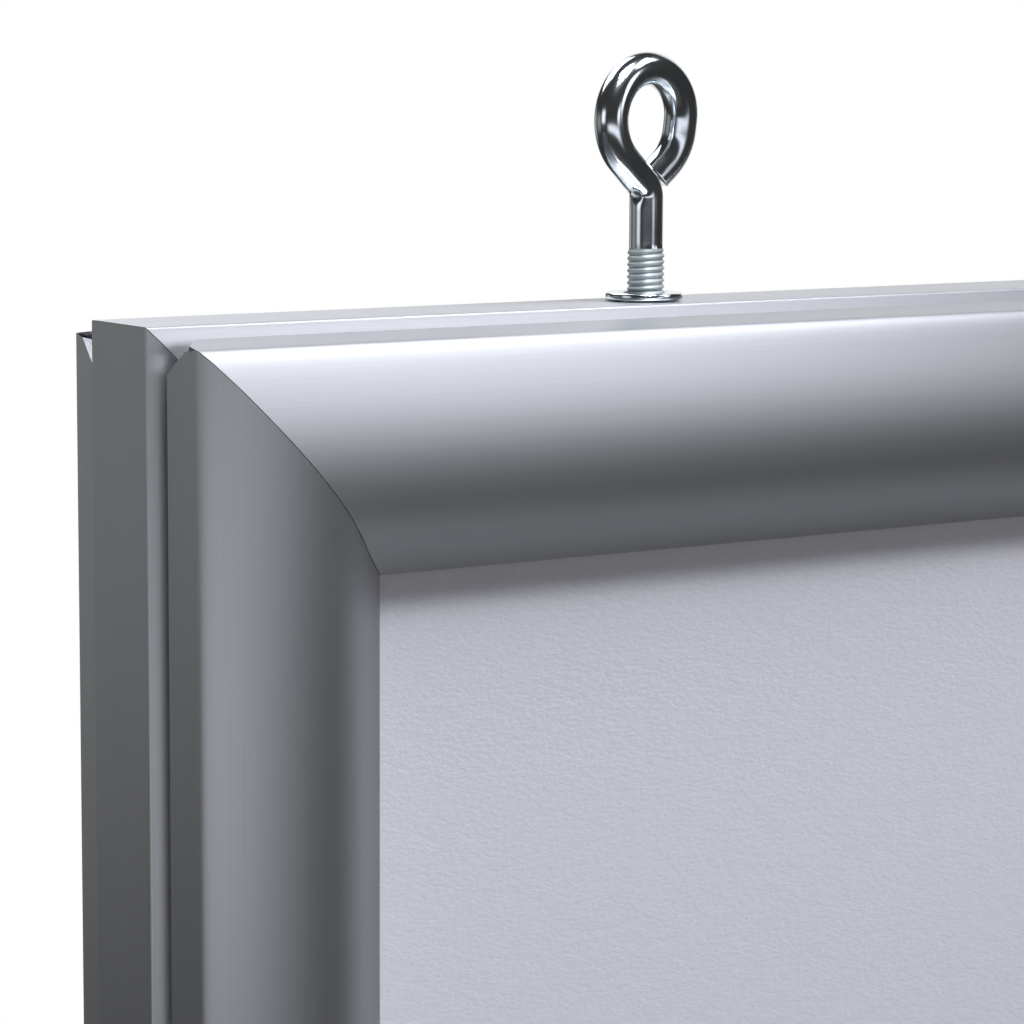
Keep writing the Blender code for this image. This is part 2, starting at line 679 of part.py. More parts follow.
def eye_bolt_mesh():
    thread, rod = eye_path()
    data = bpy.data.curves.new("eye_bolt", "CURVE")
    data.dimensions = "3D"
    data.bevel_depth = EYE_ROD_RADIUS
    data.bevel_resolution = 3
    data.use_fill_caps = True
    spline = data.splines.new("POLY")
    points = thread + rod
    spline.points.add(len(points) - 1)
    for i, (point, (across, height)) in enumerate(zip(spline.points, points)):
        round_share = max(0, i - len(thread)) / (len(rod) - 1)
        back = EYE_TAIL_BACK * round_share ** EYE_HELIX_POWER
        point.co = (across, back, height, 1)
        point.radius = EYE_THREAD_RADIUS / EYE_ROD_RADIUS if i < len(thread) else 1
    mesh = freeze(add_object("eye", data, None))
    mesh.name = "eye_bolt"
    return mesh


def hex_nut_mesh(name, across_flats, thickness, hole_radius, finish):
    template = add_object(name, cylinder(name, across_flats / math.sqrt(3), thickness, 6), finish)
    boolean(template, add_cutter(name + "_bore", cylinder(name + "_bore", hole_radius, 2 * thickness)))
    mesh = freeze(template)
    mesh.name = name
    return mesh


def washer_mesh():
    bore = EYE_THREAD_RADIUS + PIECE_GAP
    return turned("washer", [
        (WASHER_RADIUS - WASHER_CHAMFER, WASHER_THICKNESS),
        (WASHER_RADIUS, WASHER_THICKNESS - WASHER_CHAMFER),
        (WASHER_RADIUS, 0),
        (bore, 0),
        (bore, WASHER_THICKNESS),
    ])


def build_eye_bolts():
    bolt, washer = eye_bolt_mesh(), washer_mesh()
    nut = hex_nut_mesh("eye_nut", NUT_ACROSS_FLATS, NUT_THICKNESS, EYE_THREAD_RADIUS + PIECE_GAP, ZINC)
    for word, end in (("left", -1), ("right", 1)):
        x = end * (FRAME_WIDTH / 2 - EYE_FROM_SIDE)
        turn = Matrix.Rotation(math.radians(EYE_TURN_DEG), 4, "Z")
        add_object(f"eye_bolt_{word}", bolt, ZINC, Matrix.Translation((x, 0, TOP_FACE)) @ turn)
        seat = Matrix.Translation((x, 0, TOP_FACE + PIECE_GAP))
        add_object(f"eye_washer_{word}", washer, ZINC, seat)
        under = TOP_FACE - OUTER_WALL - PIECE_GAP - NUT_THICKNESS / 2
        add_object(f"eye_nut_{word}", nut, ZINC, Matrix.Translation((x, 0, under)))


# Light guide, diffusers, posters and covers

def build_sheets():
    guide = (FRAME_WIDTH - 2 * GUIDE_INSET, GUIDE_THICKNESS, FRAME_HEIGHT - 2 * GUIDE_INSET)
    centre = Matrix.Translation((0, 0, FRAME_CENTRE))
    add_object("light_guide", box("light_guide", guide), CLEAR_ACRYLIC, centre)
    sheets = (
        ("diffuser", DIFFUSER_LEVEL, DIFFUSER_THICKNESS, OPAL_ACRYLIC),
        ("poster", POSTER_LEVEL, POSTER_THICKNESS, PAPER),
        ("cover", COVER_LEVEL, COVER_THICKNESS, COVER_FILM),
    )
    for name, level, thickness, finish in sheets:
        mesh = box(name, (POSTER_WIDTH, thickness, POSTER_HEIGHT))
        for face, outward in FACES.items():
            place = Matrix.Translation(outward * (level + thickness / 2)) @ centre
            add_object(f"{face}_{name}", mesh, finish, place)


# Light strips along both long sides

def light_strip_mesh():
    """A board with its row of lamps, its x inward from the wall and its z along the side."""
    length = FRAME_HEIGHT - 2 * (GUIDE_INSET + BOARD_END_GAP)
    pitch = length / LED_COUNT
    top = BOARD_THICKNESS + LED_HEIGHT
    comb = [(length / 2, BOARD_THICKNESS / 2), (-length / 2, BOARD_THICKNESS / 2)]
    for i in range(LED_COUNT):
        middle = -length / 2 + pitch * (i + 1 / 2)
        low, high = middle - LED_LENGTH / 2, middle + LED_LENGTH / 2
        comb += [(low, BOARD_THICKNESS - PIECE_GAP), (low, top), (high, top), (high, BOARD_THICKNESS - PIECE_GAP)]
    lamps = flat_solid("lamps", [comb], LED_WIDTH)
    board = box("board", (length, BOARD_THICKNESS, GUIDE_THICKNESS))
    template = add_object("strip", board, BOARD_WHITE, Matrix.Translation((0, BOARD_THICKNESS / 2, 0)))
    boolean(template, add_cutter("lamps", lamps), "UNION")
    mesh = evaluated_mesh(template)
    mesh.transform(template.matrix_world)
    bpy.data.objects.remove(template, do_unlink=True)
    mesh.transform(Matrix(((0, 1, 0), (0, 0, 1), (1, 0, 0))).to_4x4())
    return mesh


def build_light_strips():
    strip = light_strip_mesh()
    for side in ("left", "right"):
        add_object(f"led_strip_{side}", strip, BOARD_WHITE, side_matrix(side, "front", BOARD_INSET))


# Supply socket in the top side, with its nut and the leads to the light strips

def inlet_mesh():
    flange, barrel = INLET_FLANGE_RADIUS, INLET_BARREL_RADIUS
    top = INLET_FLANGE_THICKNESS
    floor = top - INLET_BORE_DEPTH
    return turned("supply_socket", [
        (0, top - INLET_CHAMFER),
        (INLET_PIN_RADIUS, top - 2 * INLET_CHAMFER),
        (INLET_PIN_RADIUS, floor),
        (INLET_BORE_RADIUS, floor),
        (INLET_BORE_RADIUS, top - INLET_CHAMFER),
        (INLET_BORE_RADIUS + INLET_CHAMFER, top),
        (flange - INLET_CHAMFER, top),
        (flange, top - INLET_CHAMFER),
        (flange, 0),
        (barrel, 0),
        (barrel, -INLET_BARREL_LENGTH),
        (0, -INLET_BARREL_LENGTH),
    ])


def lead_mesh(name, points):
    data = bpy.data.curves.new(name, "CURVE")
    data.dimensions = "3D"
    data.bevel_depth = LEAD_RADIUS
    data.bevel_resolution = 2
    data.use_fill_caps = True
    spline = data.splines.new("POLY")
    spline.points.add(len(points) - 1)
    for point, place in zip(spline.points, points):
        point.co = (*place, 1)
    mesh = freeze(add_object(name + "_run", data, None))
    mesh.name = name
    return mesh


def build_supply():
    socket_x = FRAME_WIDTH / 2 - INLET_FROM_SIDE
    seat = Matrix.Translation((socket_x, 0, TOP_FACE + PIECE_GAP))
    add_object("supply_socket", inlet_mesh(), BLACK_PLASTIC, seat)
    bore = INLET_BARREL_RADIUS + PIECE_GAP
    nut = hex_nut_mesh("supply_nut", INLET_NUT_ACROSS_FLATS, INLET_NUT_THICKNESS, bore, ZINC)
    under = TOP_FACE - OUTER_WALL - PIECE_GAP - INLET_NUT_THICKNESS / 2
    add_object("supply_nut", nut, ZINC, Matrix.Translation((socket_x, 0, under)))
    start_z = TOP_FACE + PIECE_GAP - INLET_BARREL_LENGTH - PIECE_GAP
    run_z = TOP_FACE - LEAD_INSET
    strip_z = TOP_FACE - GUIDE_INSET - BOARD_END_GAP + PIECE_GAP
    strip_x = FRAME_WIDTH / 2 - BOARD_INSET - BOARD_THICKNESS / 2
    for word, end in (("left", -1), ("right", 1)):
        x = socket_x + end * LEAD_SPACING / 2
        far = end * strip_x
        first = arc((x + end * LEAD_BEND, run_z + LEAD_BEND), LEAD_BEND, 270 - end * 90, 270)
        corner = (far - end * LEAD_CORNER_BEND, run_z - LEAD_CORNER_BEND)
        last = arc(corner, LEAD_CORNER_BEND, 90, 90 - end * 90)
        route = [(x, start_z), *first, *last, (far, strip_z)]
        places = [(px, 0, pz) for px, pz in route]
        add_object(f"supply_lead_{word}", lead_mesh(f"supply_lead_{word}", places), BLACK_PLASTIC)


def cut_top_holes():
    """The holes in the top side for the eye bolts, the supply socket and the leads."""
    through = 2 * (OUTER_WALL + PIECE_GAP)
    eye_hole = cylinder("eye_hole", EYE_THREAD_RADIUS + PIECE_GAP, through)
    socket_hole = cylinder("socket_hole", INLET_BARREL_RADIUS + PIECE_GAP, through)
    lead_hole = box("lead_hole", (LEAD_HOLE_WIDTH, LEAD_HOLE_DEPTH, 2 * LED_WALL))
    eye_x = FRAME_WIDTH / 2 - EYE_FROM_SIDE
    socket_x = FRAME_WIDTH / 2 - INLET_FROM_SIDE
    wall_z = TOP_FACE - (CHAMBER_END + LED_WALL_END) / 2
    cuts = [
        (eye_hole, Matrix.Translation((-eye_x, 0, TOP_FACE))),
        (eye_hole, Matrix.Translation((eye_x, 0, TOP_FACE))),
        (socket_hole, Matrix.Translation((socket_x, 0, TOP_FACE))),
        (lead_hole, Matrix.Translation((socket_x, 0, wall_z))),
    ]
    boolean(bpy.data.objects["base_top"], add_cutter("top_holes", joined("top_holes", cuts)))


def shade_parts():
    """Round faces are shaded smooth, up to the sharp edges of the sections."""
    for obj in PARTS.objects:
        if obj.type == "MESH":
            obj.data.shade_smooth()
            obj.data.set_sharp_from_angle(angle=math.radians(2 * ARC_STEP_DEG))


build_sides()
build_corners()
build_eye_bolts()
build_sheets()
build_light_strips()
build_supply()
cut_top_holes()
shade_parts()
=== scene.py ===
"""Looks of the double-sided LED snap frame: satin anodised extrusions, zinc-plated eye bolts, matte sheets.

The CAD frame is fixed, in metres, with its origin at the hanging point. Sections are drawn with u, the
distance inward from the frame's outer faces, and w, the distance from the middle of the depth.
"""

import math

import bmesh
import bpy
from mathutils import Matrix, Vector
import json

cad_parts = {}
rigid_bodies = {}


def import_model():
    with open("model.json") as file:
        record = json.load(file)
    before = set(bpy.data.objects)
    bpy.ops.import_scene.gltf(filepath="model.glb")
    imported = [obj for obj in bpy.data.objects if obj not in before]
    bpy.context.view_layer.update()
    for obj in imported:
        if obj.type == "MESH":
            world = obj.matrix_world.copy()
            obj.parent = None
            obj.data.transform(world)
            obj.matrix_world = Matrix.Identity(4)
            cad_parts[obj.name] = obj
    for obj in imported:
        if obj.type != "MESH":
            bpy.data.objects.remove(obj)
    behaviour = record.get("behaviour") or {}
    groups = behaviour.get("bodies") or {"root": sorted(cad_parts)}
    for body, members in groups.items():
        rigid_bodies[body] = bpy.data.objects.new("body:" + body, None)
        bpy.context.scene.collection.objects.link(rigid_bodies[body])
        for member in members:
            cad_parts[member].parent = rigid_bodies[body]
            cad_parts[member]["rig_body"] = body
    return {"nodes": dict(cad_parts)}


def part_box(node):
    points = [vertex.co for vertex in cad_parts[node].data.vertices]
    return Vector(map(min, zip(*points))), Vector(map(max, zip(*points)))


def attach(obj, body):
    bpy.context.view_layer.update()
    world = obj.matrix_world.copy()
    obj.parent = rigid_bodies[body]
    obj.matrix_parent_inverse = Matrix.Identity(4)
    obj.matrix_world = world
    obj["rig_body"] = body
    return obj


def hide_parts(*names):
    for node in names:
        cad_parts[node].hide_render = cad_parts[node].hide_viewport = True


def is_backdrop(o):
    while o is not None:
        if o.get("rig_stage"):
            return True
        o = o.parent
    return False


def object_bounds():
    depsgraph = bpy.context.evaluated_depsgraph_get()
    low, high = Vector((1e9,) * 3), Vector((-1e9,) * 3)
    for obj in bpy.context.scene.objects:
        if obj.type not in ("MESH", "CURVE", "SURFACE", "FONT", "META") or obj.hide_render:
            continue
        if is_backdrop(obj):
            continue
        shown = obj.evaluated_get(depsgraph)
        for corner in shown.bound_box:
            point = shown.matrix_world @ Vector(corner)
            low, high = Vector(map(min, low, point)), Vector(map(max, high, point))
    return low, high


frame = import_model()
CAD_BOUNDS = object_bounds()
NODES = frame["nodes"]
RAIL_BODIES = {(face, side): f"{face}_{side}_rail" for face in ("front", "back")
               for side in ("top", "right", "bottom", "left")}

# The frame's own box, from its base members
OUTER_LOW = Vector([min(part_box("base_left")[0][i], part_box("base_bottom")[0][i]) for i in range(3)])
OUTER_HIGH = Vector([max(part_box("base_right")[1][i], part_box("base_top")[1][i]) for i in range(3)])
FRAME_WIDTH = OUTER_HIGH.x - OUTER_LOW.x
FRAME_HEIGHT = OUTER_HIGH.z - OUTER_LOW.z
TOP_FACE = OUTER_HIGH.z
FRAME_CENTRE = (OUTER_HIGH.z + OUTER_LOW.z) / 2

# Sizes of the base extrusion's section
HALF_DEPTH = 0.0087
FRONT_LEVEL = 0.0094
EDGE_RADIUS = 0.0005
SHOULDER_WIDTH = 0.0046
OUTER_WALL = 0.0015
CHAMBER_END = 0.0136
CHAMBER_HALF_DEPTH = 0.0079
CHAMBER_FILLET = 0.0008
LED_WALL_END = 0.0150
LIP_INNER = 0.0043
LIP_OUTER = 0.0056
LIP_REACH = 0.037
SHEET_RIB = (0.0282, 0.0296, 0.0088)
SHOULDER_SHARES = ((0.12, 0.19), (0.25, 0.41), (0.42, 0.69), (0.65, 0.92))
SCREW_HOLE_RADIUS = 0.0018
SCREW_FROM_CORNER = 0.030
LEAD_HOLE = (0.009, 0.003)

# Sizes of the hinge
HINGE_INSET = 0.00495
HINGE_RISE = 0.00485
HINGE_LEVEL = HALF_DEPTH + HINGE_RISE
BEAD_RADIUS = 0.0009
BEAD_ZONE = 1.1 * BEAD_RADIUS
BEAD_NECK = 0.0008
SOCKET_INNER_RADIUS = 0.00105
SOCKET_OUTER_RADIUS = 0.0018
SOCKET_START_DEG = -50
SOCKET_END_DEG = 135
WEB_INSET = 0.0073
WEB_END = 0.0085
SCREW_HOLE_INSET = (WEB_END + CHAMBER_END) / 2
SOCKET_LIP_RISE = 0.00305
SOCKET_SHOULDER_DEG = 35

# Sizes of the snap rail
RAIL_REACH = 0.040
RAIL_WALL = 0.0012
FLANGE_REAR = (0.0018, 0.0028)
FLANGE_FRONT = (0.00275, 0.010)
FLANGE_EDGE_RADIUS = 0.0004
CROWN_RISE = 0.0141
FOOT_RISE = 0.00105
FOOT_LENGTH = 0.0021
CROWN_CONTROL_SHARES = ((0.0, 0.709), (0.0, 0.962), (0.672, 1.320), (0.694, 0.709), (0.973, 0.131))
SEAT_RIBS = ((0.0113, 0.0012), (0.0138, 0.0024))
SEAT_RIB_WALL = 0.0009
MITRE_GAP = 0.00008
FLANGE_END_SLOPE = 0.152
FLANGE_END_REACH = 0.0032

# Roundings and fineness of the shapes. A corner that turns less than the least turn stays as it is.
CROWN_STEPS = 48
ARC_STEP_DEG = 10
SHOULDER_STEPS = 2
CORNER_RADIUS = 0.00018
CORNER_STEPS = 3
CORNER_LEAST_TURN_DEG = 25
CORNER_MOST_SHARE = 0.4
SHARP_DEG = 38
FLAT_WEIGHT = 80
HOLE_AROUND = 64
TURNED_AROUND = 96
TURNED_SHARP_DEG = 50
AXIS_RADIUS = 0.00001
MERGE_DISTANCE = 0.000002

# Sizes of the supply socket
INLET_FLANGE_RADIUS = 0.0072
INLET_FLANGE_THICKNESS = 0.0016
INLET_BARREL_RADIUS = 0.0055
INLET_BARREL_LENGTH = 0.0100
INLET_BORE_RADIUS = 0.0031
INLET_BORE_DEPTH = 0.009
INLET_PIN_RADIUS = 0.00105
INLET_EDGE = 0.0004
INLET_PIN_ROUND = 0.0008
INLET_PIN_AROUND = 48
INLET_STEP_DEG = 18

# Sizes of the eye bolts and their washers
EYE_ROD_RADIUS = 0.0028
EYE_LOOP_RADIUS = 0.0083
EYE_CENTRE_HEIGHT = 0.0294
EYE_FLANK_RADIUS = 0.0085
EYE_STRAIGHT = 0.0020
EYE_OFFSET = 0.0003
EYE_THREAD_RADIUS = 0.00305
EYE_THREAD_TOP = 0.0087
EYE_THREAD_END = -0.0080
EYE_THREAD_PITCH = 0.001
EYE_THREAD_DEPTH = 0.00032
EYE_THREAD_RINGS = 10
EYE_RIDGE_SLOPE = 1.45
EYE_RIDGE_DROP = 0.12
EYE_BEND_RADIUS = 0.0033
EYE_FLANK_END_DEG = 229
EYE_LOOP_END_DEG = -42
EYE_TAIL_LENGTH = 0.0020
EYE_TAIL_BACK = 0.0027
EYE_BACK_START_DEG = 40
EYE_TURN_DEG = 9.8
PINCH_PLACE = Vector((-0.0029, -0.0004, 0.0176))
PINCH_DEPTH = 0.0008
PINCH_REACH = 0.0009
BURR_PLACE = PINCH_PLACE + Vector((-0.75, 0, 1.5)) * PINCH_REACH
BURR_RISE = PINCH_DEPTH / 2
EYE_CUT_CHAMFER = 0.0003
EYE_CUT_SLOPE = 0.6
EYE_AROUND = 48
EYE_BEND_STEP_DEG = 3
EYE_LOOP_STEP_DEG = 4
EYE_STEPS = 12
EYE_SHARP_DEG = 42
WASHER_RADIUS = 0.0064
WASHER_BORE = 0.0035
WASHER_THICKNESS = 0.0011
WASHER_EDGE = 0.0004

# The gap between neighbouring pieces, and where the light strips' lamps start, just past the boards' faces
PIECE_GAP = 0.0003
LAMP_START = 0.0012

SIDES = {
    "top": (Vector((0, 0, -1)), FRAME_WIDTH, FRAME_HEIGHT),
    "right": (Vector((-1, 0, 0)), FRAME_HEIGHT, FRAME_WIDTH),
    "bottom": (Vector((0, 0, 1)), FRAME_WIDTH, FRAME_HEIGHT),
    "left": (Vector((1, 0, 0)), FRAME_HEIGHT, FRAME_WIDTH),
}
FACES = {"front": Vector((0, -1, 0)), "back": Vector((0, 1, 0))}


# Materials

class Shader:
    """A material's nodes, made one after another."""

    def __init__(self, name):
        self.material = bpy.data.materials.new(name)
        self.material.use_nodes = True
        self.tree = self.material.node_tree
        self.principled = self.tree.nodes["Principled BSDF"]

    def node(self, kind, inputs=None, **settings):
        made = self.tree.nodes.new(kind)
        for key, value in settings.items():
            setattr(made, key, value)
        for key, value in (inputs or {}).items():
            self.put(made.inputs[key], value)
        return made

    def put(self, socket, value):
        if isinstance(value, bpy.types.NodeSocket):
            self.tree.links.new(value, socket)
        else:
            socket.default_value = value

    def set(self, **values):
        for key, value in values.items():
            self.put(self.principled.inputs[key.replace("_", " ")], value)

    def scaled(self, source, scale):
        """A coordinate stretched by a scale on each axis."""
        mapping = self.node("ShaderNodeMapping", {"Vector": source})
        mapping.inputs["Scale"].default_value = scale
        return mapping.outputs["Vector"]

    def noise(self, vector, scale=1.0, detail=4.0, roughness=0.5):
        noise = self.node("ShaderNodeTexNoise", {"Vector": vector, "Scale": scale, "Detail": detail,
                                                 "Roughness": roughness})
        return noise.outputs["Fac"]

    def ramp(self, factor, low, high, dark, light):
        """A colour between two, as the factor goes from low to high."""
        ramp = self.node("ShaderNodeValToRGB", {"Fac": factor})
        ramp.color_ramp.elements[0].position = low
        ramp.color_ramp.elements[0].color = (*dark, 1)
        ramp.color_ramp.elements[1].position = high
        ramp.color_ramp.elements[1].color = (*light, 1)
        return ramp.outputs["Color"]

    def spread(self, factor, low, high):
        """The factor from 0 to 1, as a value from low to high."""
        spread = self.node("ShaderNodeMapRange", {"Value": factor, "To Min": low, "To Max": high})
        return spread.outputs["Result"]

    def bump(self, height, distance, strength=1.0, normal=None):
        bump = self.node("ShaderNodeBump", {"Height": height, "Distance": distance, "Strength": strength})
        if normal is not None:
            self.put(bump.inputs["Normal"], normal)
        return bump.outputs["Normal"]


def member_aluminium():
    """Satin anodised aluminium. Its UV map holds metres: U round the section and V along the member."""
    shader = Shader("satin_anodised_aluminium")
    uv = shader.node("ShaderNodeUVMap", uv_map="section").outputs["UV"]
    place = shader.node("ShaderNodeTexCoord").outputs["Object"]
    streaks = shader.noise(shader.scaled(uv, (2600, 14, 1)), detail=6, roughness=0.62)
    broad = shader.noise(shader.scaled(uv, (420, 5, 1)), detail=3)
    etch = shader.noise(place, scale=5200, detail=2)
    clouds = shader.noise(place, scale=26, detail=3)
    colour = shader.ramp(streaks, 0.30, 0.72, (0.553, 0.564, 0.570), (0.590, 0.602, 0.607))
    shaded = shader.node("ShaderNodeMix", {"Factor": shader.spread(clouds, 0.0, 0.12)}, data_type="RGBA")
    shader.put(shaded.inputs["A"], colour)
    shader.put(shaded.inputs["B"], (0.528, 0.545, 0.558, 1))
    grain = shader.bump(streaks, 0.000004)
    grain = shader.bump(broad, 0.000004, 0.6, grain)
    grain = shader.bump(etch, 0.000004, 0.7, grain)
    tangent = shader.node("ShaderNodeTangent", direction_type="UV_MAP", uv_map="section")
    shader.set(Base_Color=shaded.outputs["Result"], Metallic=1.0, Roughness=shader.spread(etch, 0.38, 0.46))
    shader.set(Normal=grain, Tangent=tangent.outputs["Tangent"], Anisotropic=0.75)
    return shader.material


def zinc_plate(name, dark, light, roughness, metallic):
    shader = Shader(name)
    place = shader.node("ShaderNodeTexCoord").outputs["Object"]
    drawn = shader.noise(place, scale=900, detail=3)
    clouds = shader.noise(place, scale=120, detail=4)
    shader.set(Base_Color=shader.ramp(clouds, 0.3, 0.75, dark, light), Metallic=metallic)
    shader.set(Roughness=shader.spread(clouds, *roughness))
    shader.set(Normal=shader.bump(drawn, 0.00001, 0.5))
    return shader.material


def plain_steel(name, dark, light, roughness):
    shader = Shader(name)
    place = shader.node("ShaderNodeTexCoord").outputs["Object"]
    rolled = shader.noise(place, scale=1400, detail=4)
    shader.set(Base_Color=shader.ramp(rolled, 0.3, 0.7, dark, light), Metallic=1.0)
    shader.set(Roughness=shader.spread(rolled, roughness - 0.08, roughness + 0.08))
    shader.set(Normal=shader.bump(rolled, 0.00001, 0.6))
    return shader.material


def cast_metal():
    shader = Shader("cast_aluminium")
    place = shader.node("ShaderNodeTexCoord").outputs["Object"]
    pits = shader.noise(place, scale=1100, detail=6, roughness=0.7)
    shader.set(Base_Color=shader.ramp(pits, 0.3, 0.7, (0.34, 0.35, 0.36), (0.50, 0.51, 0.52)))
    shader.set(Metallic=1.0, Roughness=shader.spread(pits, 0.48, 0.66))
    shader.set(Normal=shader.bump(pits, 0.00006))
    return shader.material


def cover_sheet():
    """The matte anti-glare sheet over the blank poster: a fine pebbled face that scatters light."""
    shader = Shader("matte_cover_sheet")
    place = shader.node("ShaderNodeTexCoord").outputs["Object"]
    pebble = shader.noise(shader.scaled(place, (900, 900, 2100)), detail=3, roughness=0.6)
    ripple = shader.noise(shader.scaled(place, (240, 240, 420)), detail=2)
    colour = shader.ramp(pebble, 0.25, 0.75, (0.592, 0.588, 0.606), (0.628, 0.624, 0.642))
    face = shader.bump(ripple, 0.00005)
    face = shader.bump(pebble, 0.00006, normal=face)
    shader.set(Base_Color=colour, Roughness=0.55, Specular_IOR_Level=0.35, Normal=face)
    return shader.material


def paper():
    shader = Shader("white_poster_paper")
    place = shader.node("ShaderNodeTexCoord").outputs["Object"]
    fibre = shader.noise(place, scale=2400, detail=5)
    shader.set(Base_Color=shader.ramp(fibre, 0.3, 0.7, (0.80, 0.80, 0.80), (0.87, 0.87, 0.87)))
    shader.set(Roughness=0.75, Normal=shader.bump(fibre, 0.00001))
    return shader.material


def acrylic(name, colour, roughness, transmission):
    shader = Shader(name)
    place = shader.node("ShaderNodeTexCoord").outputs["Object"]
    ripple = shader.noise(place, scale=60, detail=2)
    lighter = tuple(min(1.0, channel * 1.05) for channel in colour)
    shader.set(Base_Color=shader.ramp(ripple, 0.3, 0.7, colour, lighter), Roughness=roughness, IOR=1.49)
    shader.set(Transmission_Weight=transmission, Normal=shader.bump(ripple, 0.00002, 0.3))
    return shader.material


def light_strip_board():
    """White board, with the lamps' yellow phosphor where they stand proud of it."""
    shader = Shader("light_strip")
    place = shader.node("ShaderNodeTexCoord").outputs["Object"]
    parts = shader.node("ShaderNodeSeparateXYZ", {"Vector": place})
    inward = shader.node("ShaderNodeMath", {0: parts.outputs["X"]}, operation="ABSOLUTE")
    lamp_x = FRAME_WIDTH / 2 - LED_WALL_END - PIECE_GAP - LAMP_START
    proud = shader.node("ShaderNodeMath", {0: inward.outputs[0], 1: lamp_x}, operation="LESS_THAN")
    mask = shader.noise(place, scale=700, detail=3)
    board = shader.ramp(mask, 0.3, 0.7, (0.76, 0.76, 0.73), (0.84, 0.84, 0.82))
    mix = shader.node("ShaderNodeMix", {"Factor": proud.outputs[0]}, data_type="RGBA")
    shader.put(mix.inputs["A"], board)
    shader.put(mix.inputs["B"], (0.82, 0.66, 0.16, 1))
    shader.set(Base_Color=mix.outputs["Result"], Roughness=0.38)
    return shader.material


def moulded_plastic():
    shader = Shader("black_moulding")
    place = shader.node("ShaderNodeTexCoord").outputs["Object"]
    grain = shader.noise(place, scale=2600, detail=3)
    shader.set(Base_Color=shader.ramp(grain, 0.3, 0.7, (0.014, 0.014, 0.015), (0.028, 0.028, 0.030)))
    shader.set(Roughness=shader.spread(grain, 0.36, 0.50), Normal=shader.bump(grain, 0.00002, 0.7))
    return shader.material


ALUMINIUM = member_aluminium()
ZINC = zinc_plate("bright_zinc_plate", (0.60, 0.66, 0.69), (0.76, 0.79, 0.80), (0.09, 0.18), 1.0)
THREAD_ZINC = zinc_plate("rolled_zinc_plate", (0.29, 0.335, 0.33), (0.43, 0.475, 0.465), (0.40, 0.50), 0.45)
SPRING_STEEL = plain_steel("spring_steel", (0.26, 0.26, 0.28), (0.40, 0.40, 0.42), 0.32)
BLACK_STEEL = plain_steel("black_oxide_steel", (0.03, 0.03, 0.034), (0.07, 0.07, 0.075), 0.42)
CAST_ALUMINIUM = cast_metal()
COVER = cover_sheet()
PAPER = paper()
GUIDE_ACRYLIC = acrylic("clear_acrylic", (0.86, 0.92, 0.92), 0.06, 1.0)
OPAL_ACRYLIC = acrylic("opal_acrylic", (0.84, 0.85, 0.86), 0.45, 0.0)
LIGHT_STRIP = light_strip_board()
BLACK_PLASTIC = moulded_plastic()


# Shapes

def add_piece(name, mesh, finish, body, matrix=None, replaces=None):
    piece = bpy.data.objects.new(name, mesh)
    bpy.context.scene.collection.objects.link(piece)
    mesh.materials.append(finish)
    if matrix is not None:
        piece.matrix_world = matrix
    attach(piece, body)
    if replaces:
        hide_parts(replaces)
    return piece


def on_circle(centre, radius, angle_deg):
    angle = math.radians(angle_deg)
    return (centre[0] + radius * math.cos(angle), centre[1] + radius * math.sin(angle))


def arc(centre, radius, start_deg, end_deg, step_deg=ARC_STEP_DEG):
    steps = max(1, round(abs(end_deg - start_deg) / step_deg))
    turns = [start_deg + (end_deg - start_deg) * i / steps for i in range(steps + 1)]
    return [on_circle(centre, radius, turn) for turn in turns]


def smooth_through(points, steps):
    """A smooth curve through the points, with this many steps between each pair."""
    ends = [points[0], *points, points[-1]]
    curve = []
    for before, start, end, after in zip(ends, ends[1:], ends[2:], ends[3:]):
        for i in range(steps):
            t = i / steps
            curve.append(tuple(
                0.5 * (2 * b + (c - a) * t + (2 * a - 5 * b + 4 * c - d) * t**2
                       + (3 * b - a - 3 * c + d) * t**3)
                for a, b, c, d in zip(before, start, end, after)
            ))
    return [*curve, points[-1]]


def bezier(controls, steps):
    """Points along the Bezier curve that the control points shape."""
    degree = len(controls) - 1
    curve = []
    for i in range(steps + 1):
        t = i / steps
        shares = [math.comb(degree, k) * t**k * (1 - t) ** (degree - k) for k in range(degree + 1)]
        curve.append(tuple(sum(share * c[axis] for share, c in zip(shares, controls)) for axis in (0, 1)))
    return curve


def rounded_corners(outline, radius):
    """The outline with its corners rounded, as an extrusion's die leaves them."""
    result = []
    count = len(outline)
    for i, corner in enumerate(outline):
        here = Vector(corner)
        back = Vector(outline[i - 1]) - here
        ahead = Vector(outline[(i + 1) % count]) - here
        turn = math.pi - back.angle(ahead)
        if turn < math.radians(CORNER_LEAST_TURN_DEG):
            result.append(corner)
            continue
        most = CORNER_MOST_SHARE * min(back.length, ahead.length)
        reach = min(radius * math.tan(turn / 2), most)
        start = here + back.normalized() * reach
        end = here + ahead.normalized() * reach
        for step in range(CORNER_STEPS + 1):
            t = step / CORNER_STEPS
            point = start * (1 - t) ** 2 + here * 2 * t * (1 - t) + end * t**2
            result.append(tuple(point))
    return result


